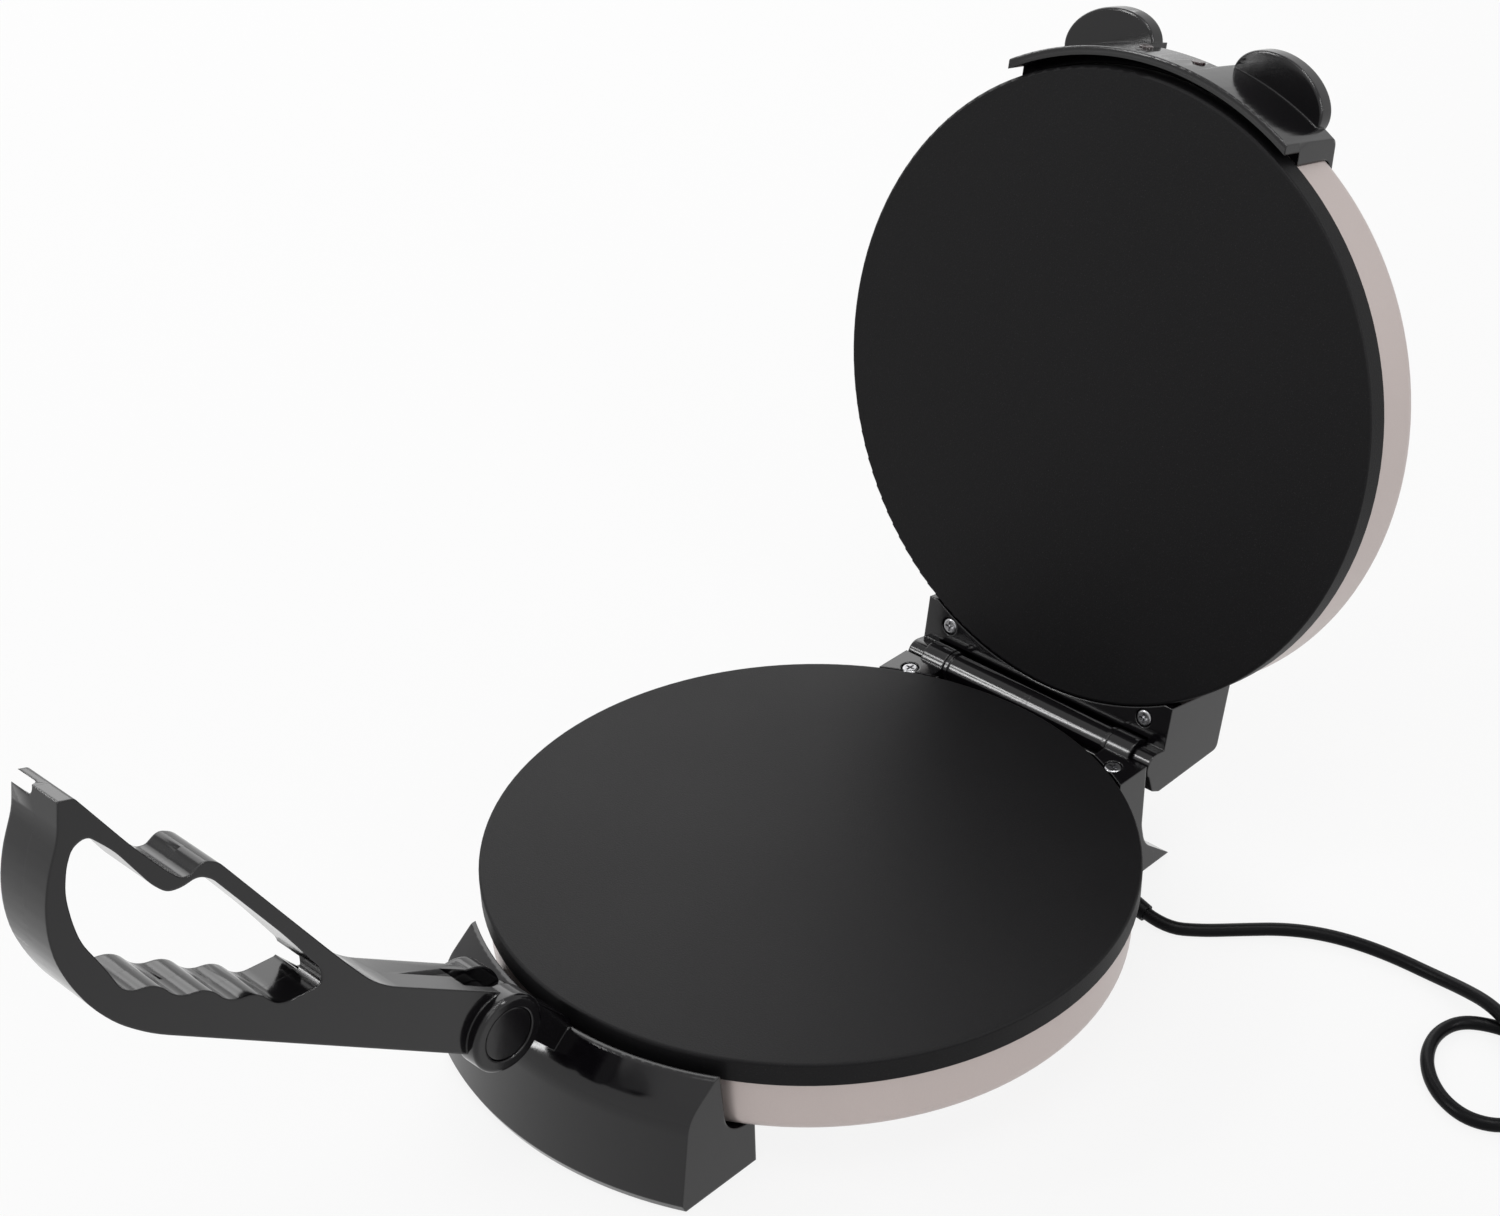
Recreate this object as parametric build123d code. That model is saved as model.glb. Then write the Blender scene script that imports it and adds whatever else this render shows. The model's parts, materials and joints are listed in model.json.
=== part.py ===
from build123d import *
from math import cos, pi, radians, sin, sqrt, tan
import os

# Electric tortilla maker with a press lever, modelled with its lid open.
# The origin is the centre of the lower plate's cooking face, +Z is up,
# the lever is towards -Y and the lid's hinge towards +Y. Lengths are in millimetres.

os.makedirs("parts", exist_ok=True)

# Driving dimensions

STAND_HEIGHT = 56.0
LID_OPEN_ANGLE = 100.4
LEVER_REST_ANGLE = 36.2

# Cooking plates: cast aluminium, with a spigot that locates the housing
LOWER_PLATE_RADIUS = 127.0
UPPER_PLATE_INSET = 2.0
UPPER_PLATE_RADIUS = LOWER_PLATE_RADIUS - UPPER_PLATE_INSET
PLATE_DEPTH = 10.0
PLATE_THICKNESS = 4.0
PLATE_EDGE_ROUND = 1.2
CLOSED_GAP = 1.0
SPIGOT_WALL = 3.0
SPIGOT_REACH = 3.0
SPIGOT_FIT = 0.2

# Housings: pressed sheet round each plate
BAND_INSET = 2.5
BAND_RADIUS = LOWER_PLATE_RADIUS - BAND_INSET
SHEET = 1.2
BAND_HEIGHT = 25.0
BAND_ROUND = 6.0
PAN_FLANGE_WIDTH = 26.0
PAN_FLANGE_RADIUS = BAND_RADIUS - PAN_FLANGE_WIDTH
DOME_RISE = 4.2

# Heaters and what is fixed to the plates
HEATER_INSET = 51.0
HEATER_RADIUS = LOWER_PLATE_RADIUS - HEATER_INSET
HEATER_TUBE_RADIUS = 3.25
HEATER_GAP_ANGLE = 50.0
HEATER_TAIL = 16.0
TERMINAL_RADIUS = 1.2
TERMINAL_LENGTH = 9.0
CHANNEL_WALL = 2.0
CHANNEL_DEPTH = 3.0
HEATER_FIT = 0.15
PLATE_BOSS_RADIUS = 4.5
PLATE_BOSS_INSET = 35.0
PLATE_BOSS_CIRCLE = LOWER_PLATE_RADIUS - PLATE_BOSS_INSET
PLATE_BOSS_COUNT = 3
PLATE_BOSS_START_ANGLE = 90.0
REFLECTOR_SHELF_DEPTH = 14.0
REFLECTOR_NECK_RADIUS = 3.4
REFLECTOR_INSET = 10.5
REFLECTOR_RADIUS = BAND_RADIUS - REFLECTOR_INSET
REFLECTOR_SHEET = 0.6
REFLECTOR_LIP = 5.0
REFLECTOR_HOLE_RADIUS = 18.0
REFLECTOR_BOSS_FIT = 0.2
CLAMP_COUNT = 3
CLAMP_WIDTH = 9.0
CLAMP_SHEET = 1.0
CLAMP_FOOT = 7.0
THERMOSTAT_RADIUS = 9.0
THERMOSTAT_HEIGHT = 7.0
THERMOSTAT_CAP_RADIUS = 7.0
THERMOSTAT_CAP_HEIGHT = 3.0
THERMOSTAT_BLADE = (6.0, 0.8, 7.0)
THERMOSTAT_BLADE_SPREAD = 4.5
SENSOR_PAD_RADIUS = 11.0
SENSOR_PAD_DEPTH = 1.5
FUSE_RADIUS = 2.0
FUSE_LENGTH = 11.0
FUSE_PLACE = (34.0, 8.0)
FUSE_SADDLE_WIDTH = 6.0
FUSE_SADDLE_SHEET = 0.8

# Bottom cover
COVER_SHEET = 1.0
COVER_INSET = 18.5
COVER_RADIUS = BAND_RADIUS - COVER_INSET
VENT_COUNT = 12
VENT_LENGTH = 26.0
VENT_WIDTH = 4.0
VENT_CIRCLE = 52.0

# Feet: hollow mouldings cut off square at both sides
FOOT_HALF_WIDTH = 64.0
FOOT_WALL = 3.0
FOOT_PAN_GAP = 0.3
FOOT_PLATE_GAP = 4.0
FOOT_RIM_DROP = 6.0
FOOT_LIP_WIDTH = 2.0
FOOT_SHOULDER_REACH = 20.9
FOOT_SHOULDER_RADIUS = BAND_RADIUS + FOOT_SHOULDER_REACH
FOOT_SHOULDER_DROP = 15.0
FOOT_TOE_REACH = 25.5
FOOT_TOE_RADIUS = BAND_RADIUS + FOOT_TOE_REACH
FOOT_TOE_RISE = 4.0
FOOT_TOE_DROP = STAND_HEIGHT - FOOT_TOE_RISE
FOOT_TONGUE = 25.9
FOOT_INSET = BAND_RADIUS - FOOT_TONGUE
FOOT_EDGE_ROUND = 1.5
FOOT_TUCK = 1.5
FOOT_RIB = 2.0
FOOT_RIB_SIDE_INSET = 31.0
FOOT_RIB_PLACE = FOOT_HALF_WIDTH - FOOT_RIB_SIDE_INSET
FOOT_SCREW_INSET = 20.5
FOOT_SCREW_SIDE_INSET = 22.0
FOOT_SCREW_PLACE = (FOOT_HALF_WIDTH - FOOT_SCREW_SIDE_INSET, BAND_RADIUS - FOOT_SCREW_INSET)
FOOT_BOSS_RADIUS = 4.6
PAD_RADIUS = 7.0
PAD_HEIGHT = 3.0
PAD_PROUD = 0.6
PAD_FIT = 0.1
PAD_POCKET_WALL = 1.8
PAD_CORNER_INSET = 11.5

# Rear foot and its hinge
REAR_WALL_GAP = 3.5
REAR_WALL_REACH = BAND_RADIUS + REAR_WALL_GAP
REAR_TOE_RUN = 24.5
REAR_TOE_REACH = BAND_RADIUS + REAR_TOE_RUN
REAR_KNEE_RISE = 26.0
REAR_KNEE_DROP = STAND_HEIGHT - REAR_KNEE_RISE
REAR_FLARE_RISE = 15.0
REAR_FLARE_DROP = STAND_HEIGHT - REAR_FLARE_RISE
REAR_FLARE_RUN = 6.5
REAR_FLARE_REACH = BAND_RADIUS + REAR_FLARE_RUN
REAR_EAR_TOP = 0.6
REAR_EAR_GAP = 0.9
REAR_SADDLE_TOP = 10.6
HINGE_GAP = 7.2
HINGE_REACH = LOWER_PLATE_RADIUS + HINGE_GAP
HINGE_DROP = 3.4
HINGE_PIN_RADIUS = 3.0
HINGE_PIN_END_INSET = 4.0
HINGE_PIN_HALF = FOOT_HALF_WIDTH - HINGE_PIN_END_INSET
HINGE_PIN_FIT = 0.05
KNUCKLE_RADIUS = 7.8
KNUCKLE_INNER_INSET = 20.6
KNUCKLE_INNER = FOOT_HALF_WIDTH - KNUCKLE_INNER_INSET
KNUCKLE_OUTER_INSET = 9.0
KNUCKLE_OUTER = FOOT_HALF_WIDTH - KNUCKLE_OUTER_INSET
KNUCKLE_WEB_RISE = 3.0
BARREL_RADIUS = 6.8
BARREL_END_GAP = 0.4
BARREL_HALF = KNUCKLE_INNER - BARREL_END_GAP
BARREL_RING_RADIUS = 7.6
BARREL_RING_WIDTH = 2.0
HINGE_SWING_GAP = 0.9
CHEEK_GAP = 0.4
CHEEK_INNER = KNUCKLE_OUTER + CHEEK_GAP
CHEEK_LOBE_RADIUS = 5.4
EAR_SCREW_INSET = 15.2
EAR_SCREW_SIDE_INSET = 10.0
EAR_SCREW_PLACE = (FOOT_HALF_WIDTH - EAR_SCREW_SIDE_INSET, HINGE_REACH - EAR_SCREW_INSET)

# Lid mouldings, in the closed lid's place
LID_REAR_DEPTH = 24.2
LID_REAR_INNER = HINGE_REACH - LID_REAR_DEPTH
LID_REAR_TOP = 42.0
LID_REAR_TOP_RUN = 5.8
LID_REAR_TOP_REACH = HINGE_REACH + LID_REAR_TOP_RUN
LID_REAR_HEEL_RUN = 13.8
LID_REAR_HEEL = (HINGE_REACH + LID_REAR_HEEL_RUN, 3.0)
LID_REAR_TAIL_RUN = 12.3
LID_REAR_TAIL = (HINGE_REACH + LID_REAR_TAIL_RUN, -2.0)
LID_REAR_WALL = 3.0
LID_REAR_ROUND = 3.0
LID_SCREW_INSET = 14.9
LID_SCREW_SIDE_INSET = 12.5
LID_SCREW_PLACE = (FOOT_HALF_WIDTH - LID_SCREW_SIDE_INSET, HINGE_REACH - LID_SCREW_INSET)
MOULDING_FIT = 0.3
LID_FRONT_REACH = 8.0
LID_FRONT_RADIUS = BAND_RADIUS + LID_FRONT_REACH
LID_FRONT_DRAFT = 1.0
LID_FRONT_COVER_INSET = 8.0
LID_FRONT_COVER_RADIUS = BAND_RADIUS - LID_FRONT_COVER_INSET
LID_FRONT_COVER = 1.6
LID_FRONT_SKIRT_GAP = 4.0
LID_FRONT_ROUND = 3.5
CHANNEL_HALF = 17.0
CHANNEL_LEDGE = 20.0
CHANNEL_SLOPE = 26.7
CHANNEL_SKIN = 2.0
TAB_RUN = 8.3
TAB_REACH = LID_FRONT_RADIUS + TAB_RUN
TAB_SIDE_INSET = 1.5
TAB_OUTER = FOOT_HALF_WIDTH - TAB_SIDE_INSET
TAB_TOP = 35.8
TAB_RIM_BASE = 30.0
TAB_ROOT_BASE = 21.0
TAB_ROOT_DEPTH = 4.0
TAB_ROOT_REACH = LID_FRONT_RADIUS - TAB_ROOT_DEPTH
TAB_ROUND = 6.0
TAB_EDGE_ROUND = 1.2
LAMP_SPREAD = 12.0
LAMP_HEIGHT = 15.0
LENS_RADIUS = 2.6
LENS_PROUD = 0.4
LAMP_RADIUS = 2.2
LAMP_LENGTH = 5.0

# Press lever, in its own frame: along the arm and up from the pivot
PIVOT_RUN = 15.7
PIVOT_REACH = FOOT_TOE_RADIUS + PIVOT_RUN
PIVOT_HEIGHT = 19.5
LEVER_LENGTH = 200.0
LEVER_HALF = 11.0
LEVER_WALL = 2.4
LEVER_PIN_RADIUS = 4.0
LEVER_PIN_FIT = 0.05
PIN_HEAD_RADIUS = 6.5
PIN_HEAD_HEIGHT = 1.4
BARREL_FACE = 15.5
SLOT_HALF = 6.5
LEVER_BARREL_RADIUS = 15.0
LEVER_BARREL_ROUND = 1.6
CAP_RADIUS = 10.2
CAP_DEPTH = 3.6
CAP_FIT = 0.1
CAP_THICKNESS = 1.4
CAP_SINK = 0.5
SLOT_RADIUS = 16.6
SLOT_INNER_REACH = 22.5
LUG_HALF = 6.25
LUG_HUB_RADIUS = 9.6
LUG_CORNER = (15.1, 2.5)
LUG_SHOULDER = (34.7, -20.5)
LUG_ROOT_DEPTH = 11.0
LUG_TOE = (27.5, -31.5)
LUG_CHIN = (8.5, -8.5)
NOTCH_WIDTH = 4.0
GRIP_COUNT = 4
GRIP_PITCH_SHARE = 0.1
GRIP_WAVE_SHARE = 0.0105
GRIP_LEVEL_SHARE = 0.018
GRIP_START_SHARE = 0.52
LEVER_BOSS_RADIUS = 4.6

# Screws
SCREW_HEAD_RADIUS = 3.6
SCREW_HEAD_HEIGHT = 2.2
SCREW_SHANK_RADIUS = 1.7
SCREW_LENGTH = 11.0
SCREW_CROSS = (4.2, 0.9, 1.2)
SCREW_FIT = 0.3

# Mains cord
CORD_DIAMETER = 5.4
CORD_EXIT_INSET = 19.5
CORD_EXIT_RISE = 10.0
CORD_EXIT = (FOOT_HALF_WIDTH, BAND_RADIUS - CORD_EXIT_INSET, CORD_EXIT_RISE - STAND_HEIGHT)
RELIEF_LENGTH = 22.0
RELIEF_DIP = 12.0
RELIEF_RUN = 10.0
RELIEF_ROOT_RADIUS = 5.2
RELIEF_TIP_RADIUS = 3.6
RELIEF_FLANGE_RADIUS = 7.0
RELIEF_FLANGE = 2.0
COIL_CENTRE = (264.0, 178.0)
COIL_OUTER = 35.6
COIL_PITCH = 6.4
COIL_LAYER = 6.0
COIL_LIFT = 0.9
COIL_LAYER_HALF_TURNS = 4
COIL_CLIMB_DRAW = 1.6
COIL_REVERSE_STEP = 1.8
TIE_THICKNESS = 0.7
TIE_WIDTH = 6.0
TIE_GAP = 0.15
TIE_SIDE_GAP = 0.9
PLUG_LENGTH = 34.0
PLUG_WIDTH = 27.0
PLUG_HEIGHT = 22.0
PLUG_TAPER = 0.62
PLUG_RELIEF_LENGTH = 20.0
PRONG = (6.3, 1.5, 16.0)
PRONG_SPREAD = 12.7
EARTH_PIN_RADIUS = 2.4
EARTH_PIN_DROP = 8.0

# Wiring
WIRE_RADIUS = 1.3
WIRE_FIT = 0.2
WIRE_BEND = 4.0
WIRE_LEVEL = -27.5
SUPPLY_WIRE_SIDE_INSETS = (13.0, 9.0)
SUPPLY_WIRE_INSETS = (18.0, 21.0)
SUPPLY_WIRE_PLACES = tuple(
    (FOOT_HALF_WIDTH - side_inset, BAND_RADIUS - inset)
    for side_inset, inset in zip(SUPPLY_WIRE_SIDE_INSETS, SUPPLY_WIRE_INSETS)
)
SUPPLY_TURN_INSET = 40.5
SUPPLY_TURN_REACH = BAND_RADIUS - SUPPLY_TURN_INSET
LEAD_STUB = 5.0
LEAD_SPREAD = 3.0
LEAD_TURN_PLACE = 12.0
LID_WIRE_SPREAD = 8.0
LID_WIRE_HEIGHT = 25.0
LID_WIRE_RUN = 8.5
LID_WIRE_END = BAND_RADIUS + LID_WIRE_RUN
TERMINAL_BLOCK = (32.0, 16.0, 10.0)
TERMINAL_BLOCK_INSET = 63.5
TERMINAL_BLOCK_SIDE_INSET = 22.0
TERMINAL_BLOCK_PLACE = (FOOT_HALF_WIDTH - TERMINAL_BLOCK_SIDE_INSET, BAND_RADIUS - TERMINAL_BLOCK_INSET)
LEAD_PLACES = (TERMINAL_BLOCK_PLACE[1] - LEAD_SPREAD, TERMINAL_BLOCK_PLACE[1] + LEAD_SPREAD)
TERMINAL_HOLE_RADIUS = 2.2
TERMINAL_HOLE_DEPTH = 6.0
LEAD_WINDOW_REACH = 10.0
LEAD_WINDOW = (15.0, HEATER_RADIUS, HEATER_RADIUS + LEAD_WINDOW_REACH)

CUT = 5.0
EASE_SHARE = 0.45

# Places worked out from the driving dimensions

FLOOR = -STAND_HEIGHT
SPIGOT_RADIUS = BAND_RADIUS - SHEET - SPIGOT_FIT
PAN_FLOOR = -PLATE_DEPTH - BAND_HEIGHT
LID_FACE = CLOSED_GAP
LID_BAND_BASE = LID_FACE + PLATE_DEPTH
LID_RIM = LID_BAND_BASE + BAND_HEIGHT - SHEET
DOME_EDGE_RADIUS = BAND_RADIUS - BAND_ROUND
DOME_TOP = LID_RIM + DOME_RISE
COVER_TOP = PAN_FLOOR + SHEET + COVER_SHEET
BOSS_DEPTH = -COVER_TOP
HINGE_AXIS = Axis((0, HINGE_REACH, -HINGE_DROP), (1, 0, 0))
FOOT_BASE = FLOOR + PAD_PROUD


# Shapes used by many pieces

def flat(points):
    """A flat face through a closed list of corners."""
    return make_face(Polyline(*points, close=True))


def rounded(corners):
    """A flat face through (a, b, radius) corners, each rounded by its own radius."""
    points = [(a, b) for a, b, _ in corners]
    radii = [radius for _, _, radius in corners]
    return make_face(FilletPolyline(*points, radius=radii, close=True))


def turned(section):
    """A solid of revolution about Z from a section in radius and height."""
    return revolve(Plane.XZ * section, Axis.Z)


def slab(section, low, high):
    """A section in Y and Z, carried along X from low to high."""
    return Pos(X=low) * extrude(Plane.YZ * section, high - low)


def box(x, y, z):
    """A box between two limits on each axis."""
    size = [high - low for low, high in (x, y, z)]
    middle = [(high + low) / 2 for low, high in (x, y, z)]
    return Pos(*middle) * Box(*size)


def post(radius, low, high, x=0, y=0):
    """An upright cylinder from one height to another."""
    return Pos(x, y, (low + high) / 2) * Cylinder(radius, high - low)


def rod(radius, low, high, y, z):
    """A cylinder along X."""
    return Pos((low + high) / 2, y, z) * Rot(Y=90) * Cylinder(radius, high - low)


def tube_along(path, radius):
    """A round bar swept along a path."""
    start = Plane(origin=path @ 0, z_dir=path % 0)
    return sweep(start * Circle(radius), path=path)


def ring_places(count, radius, start):
    """Evenly spaced places round the Z axis, as x, y and angle."""
    for index in range(count):
        angle = start + 360 * index / count
        yield radius * cos(radians(angle)), radius * sin(radians(angle)), angle


def opened(piece):
    """Carry a piece of the closed lid to the open lid."""
    return piece.rotate(HINGE_AXIS, -LID_OPEN_ANGLE)


def mirrored_pair(piece):
    """A piece and its mirror image across the plane x = 0."""
    return [piece, piece.mirror(Plane.YZ)]


def write(name, pieces):
    """Write one node, a single solid or a group of separate ones."""
    solids = []
    for piece in pieces if isinstance(pieces, list) else [pieces]:
        solids.extend(piece.solids())
    shape = solids[0] if len(solids) == 1 else Compound(children=solids)
    export_step(shape, os.path.join("parts", name + ".step"))


# Plates and what is fixed to them, all modelled facing up with the face at z = 0

def cooking_plate(radius, boss_depth):
    """Cast plate with rolled edge, spigot, heater channel, sensor pad and screw bosses."""
    skirt = -PLATE_DEPTH
    spigot = skirt - SPIGOT_REACH
    inner = SPIGOT_RADIUS - SPIGOT_WALL
    casting = turned(rounded([
        (0, 0, 0),
        (radius, 0, PLATE_EDGE_ROUND),
        (radius, skirt, PLATE_EDGE_ROUND / 2),
        (SPIGOT_RADIUS, skirt, 0),
        (SPIGOT_RADIUS, spigot, 0),
        (inner, spigot, 0),
        (inner, -PLATE_THICKNESS, 0),
        (0, -PLATE_THICKNESS, 0),
    ]))
    groove = HEATER_TUBE_RADIUS + HEATER_FIT
    for side in (-1, 1):
        near = HEATER_RADIUS + side * groove
        far = HEATER_RADIUS + side * (groove + CHANNEL_WALL)
        casting += turned(flat([
            (near, -PLATE_THICKNESS),
            (far, -PLATE_THICKNESS),
            (far, -PLATE_THICKNESS - CHANNEL_DEPTH),
            (near, -PLATE_THICKNESS - CHANNEL_DEPTH),
        ]))
    tail_gap = HEATER_RADIUS * sin(radians(HEATER_GAP_ANGLE / 2)) + HEATER_TUBE_RADIUS
    casting -= box(
        (-tail_gap, tail_gap),
        (HEATER_RADIUS / 2, HEATER_RADIUS + groove + CHANNEL_WALL + CUT),
        (-PLATE_THICKNESS - CHANNEL_DEPTH - CUT, -PLATE_THICKNESS),
    )
    casting += post(SENSOR_PAD_RADIUS, -PLATE_THICKNESS - SENSOR_PAD_DEPTH, -PLATE_THICKNESS)
    shelf = -PLATE_THICKNESS - REFLECTOR_SHELF_DEPTH
    for x, y, _ in ring_places(PLATE_BOSS_COUNT, PLATE_BOSS_CIRCLE, PLATE_BOSS_START_ANGLE):
        casting += post(PLATE_BOSS_RADIUS, shelf, -PLATE_THICKNESS, x, y)
        casting += post(REFLECTOR_NECK_RADIUS, -boss_depth, shelf, x, y)
        casting -= post(SCREW_SHANK_RADIUS, -boss_depth - CUT, -boss_depth + SCREW_LENGTH, x, y)
    return casting


def heater_height():
    """Height of the heater tube's centre under the plate."""
    return -PLATE_THICKNESS - HEATER_FIT - HEATER_TUBE_RADIUS


def heater():
    """Sheathed element bent to a horseshoe, with straight tails and terminal pins."""
    height = heater_height()
    half_gap = radians(HEATER_GAP_ANGLE / 2)
    ends = []
    for side in (-1, 1):
        start = Vector(side * HEATER_RADIUS * sin(half_gap), HEATER_RADIUS * cos(half_gap), height)
        heading = Vector(-side * cos(half_gap), sin(half_gap), 0)
        ends.append((start, heading))
    right, left = ends[1], ends[0]
    bow = ThreePointArc(right[0], (0, -HEATER_RADIUS, height), left[0])
    tails = [Line(end, end + heading * HEATER_TAIL) for end, heading in ends]
    path = Wire([tails[1], bow, tails[0]])
    pieces = [tube_along(path, HEATER_TUBE_RADIUS)]
    for end, heading in ends:
        tip = end + heading * HEATER_TAIL
        pin = Plane(origin=tip, z_dir=heading) * Circle(TERMINAL_RADIUS)
        pieces.append(extrude(pin, TERMINAL_LENGTH, dir=heading))
    return pieces


def clamp_straps():
    """The straps at three places round the heater."""
    height = heater_height()
    reach = HEATER_TUBE_RADIUS + HEATER_FIT + CHANNEL_WALL + HEATER_FIT
    low = height - HEATER_TUBE_RADIUS - HEATER_FIT
    foot = -PLATE_THICKNESS
    outline = flat([
        (-reach - CLAMP_FOOT, foot),
        (-reach, foot),
        (-reach, low),
        (reach, low),
        (reach, foot),
        (reach + CLAMP_FOOT, foot),
        (reach + CLAMP_FOOT, foot - CLAMP_SHEET),
        (reach + CLAMP_SHEET, foot - CLAMP_SHEET),
        (reach + CLAMP_SHEET, low - CLAMP_SHEET),
        (-reach - CLAMP_SHEET, low - CLAMP_SHEET),
        (-reach - CLAMP_SHEET, foot - CLAMP_SHEET),
        (-reach - CLAMP_FOOT, foot - CLAMP_SHEET),
    ])
    strap = extrude(Plane.XZ * outline, CLAMP_WIDTH / 2, both=True)
    places = ring_places(CLAMP_COUNT, HEATER_RADIUS, PLATE_BOSS_START_ANGLE + 180 / PLATE_BOSS_COUNT)
    return [Pos(x, y, 0) * Rot(Z=angle) * strap for x, y, angle in places]


def thermostat():
    """Snap-disc thermostat with its metal cap against the plate and two blades."""
    top = -PLATE_THICKNESS - SENSOR_PAD_DEPTH
    cap_base = top - THERMOSTAT_CAP_HEIGHT
    base = cap_base - THERMOSTAT_HEIGHT
    body = post(THERMOSTAT_CAP_RADIUS, cap_base, top) + post(THERMOSTAT_RADIUS, base, cap_base)
    width, thickness, length = THERMOSTAT_BLADE
    for side in (-1, 1):
        middle = side * THERMOSTAT_BLADE_SPREAD
        body += box(
            (middle - thickness / 2, middle + thickness / 2),
            (-width / 2, width / 2),
            (base - length, base),
        )
    return body


def fuse():
    """Thermal fuse in a sheet saddle under the lower plate."""
    x, y = FUSE_PLACE
    centre = -PLATE_THICKNESS - FUSE_RADIUS - HEATER_FIT
    body = rod(FUSE_RADIUS, x - FUSE_LENGTH / 2, x + FUSE_LENGTH / 2, y, centre)
    reach = FUSE_RADIUS + HEATER_FIT
    low = centre - reach
    foot = -PLATE_THICKNESS
    saddle = flat([
        (y - reach - FUSE_SADDLE_WIDTH, foot),
        (y - reach, foot),
        (y - reach, low),
        (y + reach, low),
        (y + reach, foot),
        (y + reach + FUSE_SADDLE_WIDTH, foot),
        (y + reach + FUSE_SADDLE_WIDTH, foot - FUSE_SADDLE_SHEET),
        (y + reach + FUSE_SADDLE_SHEET, foot - FUSE_SADDLE_SHEET),
        (y + reach + FUSE_SADDLE_SHEET, low - FUSE_SADDLE_SHEET),
        (y - reach - FUSE_SADDLE_SHEET, low - FUSE_SADDLE_SHEET),
        (y - reach - FUSE_SADDLE_SHEET, foot - FUSE_SADDLE_SHEET),
        (y - reach - FUSE_SADDLE_WIDTH, foot - FUSE_SADDLE_SHEET),
    ])
    return [body, slab(saddle, x - FUSE_SADDLE_WIDTH / 2, x + FUSE_SADDLE_WIDTH / 2)]


def reflector():
    """Thin bright tray that sends the element's heat back, seated on the bosses' shelves."""
    top = -PLATE_THICKNESS - REFLECTOR_SHELF_DEPTH
    low = top - REFLECTOR_SHEET
    tray = turned(flat([
        (REFLECTOR_HOLE_RADIUS, low),
        (REFLECTOR_RADIUS, low),
        (REFLECTOR_RADIUS, top + REFLECTOR_LIP),
        (REFLECTOR_RADIUS - REFLECTOR_SHEET, top + REFLECTOR_LIP),
        (REFLECTOR_RADIUS - REFLECTOR_SHEET, top),
        (REFLECTOR_HOLE_RADIUS, top),
    ]))
    hole = REFLECTOR_NECK_RADIUS + REFLECTOR_BOSS_FIT
    for x, y, _ in ring_places(PLATE_BOSS_COUNT, PLATE_BOSS_CIRCLE, PLATE_BOSS_START_ANGLE):
        tray -= post(hole, low - CUT, top + CUT, x, y)
    half, near, far = LEAD_WINDOW
    return tray - box((-half, half), (near, far), (low - CUT, top + CUT))


def turned_over(piece):
    """Carry a piece modelled under an upward face to the downward upper plate."""
    return Pos(Z=LID_FACE) * Rot(Y=180) * piece


# Housings

def lower_housing():
    """Pressed pan: straight band, rounded foot and an inward flange for the cover."""
    top = -PLATE_DEPTH
    inner_round = BAND_ROUND - SHEET
    cup = turned(rounded([
        (0, top, 0),
        (BAND_RADIUS, top, 0),
        (BAND_RADIUS, PAN_FLOOR, BAND_ROUND),
        (0, PAN_FLOOR, 0),
    ]))
    hollow = turned(rounded([
        (0, top + CUT, 0),
        (BAND_RADIUS - SHEET, top + CUT, 0),
        (BAND_RADIUS - SHEET, PAN_FLOOR + SHEET, inner_round),
        (0, PAN_FLOOR + SHEET, 0),
    ]))
    pan = cup - hollow - post(PAN_FLANGE_RADIUS, PAN_FLOOR - CUT, PAN_FLOOR + CUT)
    for x, y in foot_screw_places():
        pan -= post(SCREW_SHANK_RADIUS, PAN_FLOOR - CUT, PAN_FLOOR + CUT, x, y)
    for x, y in SUPPLY_WIRE_PLACES:
        pan -= post(WIRE_RADIUS + WIRE_FIT, PAN_FLOOR - CUT, PAN_FLOOR + CUT, x, y)
    return pan


def lid_envelope(inset):
    """The lid's outer form, drawn in by an inset on every side but its open one."""
    rim = LID_RIM - inset
    radius = BAND_RADIUS - inset
    corner = BAND_ROUND - inset
    shoulder = rim - corner
    edge = radius - corner
    half = edge / 2
    bow = (edge ** 2 + DOME_RISE ** 2) / (2 * DOME_RISE)
    middle = DOME_TOP - inset - (bow - sqrt(bow ** 2 - half ** 2))
    turn = corner * (1 - cos(radians(45)))
    base = LID_BAND_BASE - (CUT if inset > SHEET / 2 else 0)
    outline = [
        Line((0, base), (radius, base)),
        Line((radius, base), (radius, shoulder)),
        ThreePointArc((radius, shoulder), (radius - turn, rim - turn), (edge, rim)),
        ThreePointArc((edge, rim), (half, middle), (0, DOME_TOP - inset)),
        Line((0, DOME_TOP - inset), (0, base)),
    ]
    return turned(make_face(outline))


def ramp(drop):
    """Everything above the lever channel's floor, the floor lowered by drop."""
    rise = tan(radians(CHANNEL_SLOPE))
    front = LID_FRONT_RADIUS + CUT
    front_height = CHANNEL_LEDGE - drop - (front - LID_FRONT_RADIUS + LID_FRONT_DRAFT) * rise
    run = (DOME_TOP + CUT - front_height) / rise
    return flat([
        (-front, front_height),
        (-front + run, DOME_TOP + CUT),
        (-front, DOME_TOP + CUT),
    ])


def upper_housing():
    """Pressed lid: band and shallow dome, cut away at the front for the lever channel."""
    shell = lid_envelope(0) - lid_envelope(SHEET)
    half = CHANNEL_HALF + CHANNEL_SKIN + MOULDING_FIT
    shell -= slab(ramp(CHANNEL_SKIN + MOULDING_FIT), -half, half)
    for side in (-1, 1):
        shell -= lamp_bar(side, LAMP_RADIUS + MOULDING_FIT, LAMP_LENGTH + CUT)
        hole = Rot(X=90) * Cylinder(WIRE_RADIUS + WIRE_FIT, 2 * CUT)
        shell -= Pos(side * LID_WIRE_SPREAD, BAND_RADIUS, LID_WIRE_HEIGHT) * hole
    return shell


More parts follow.
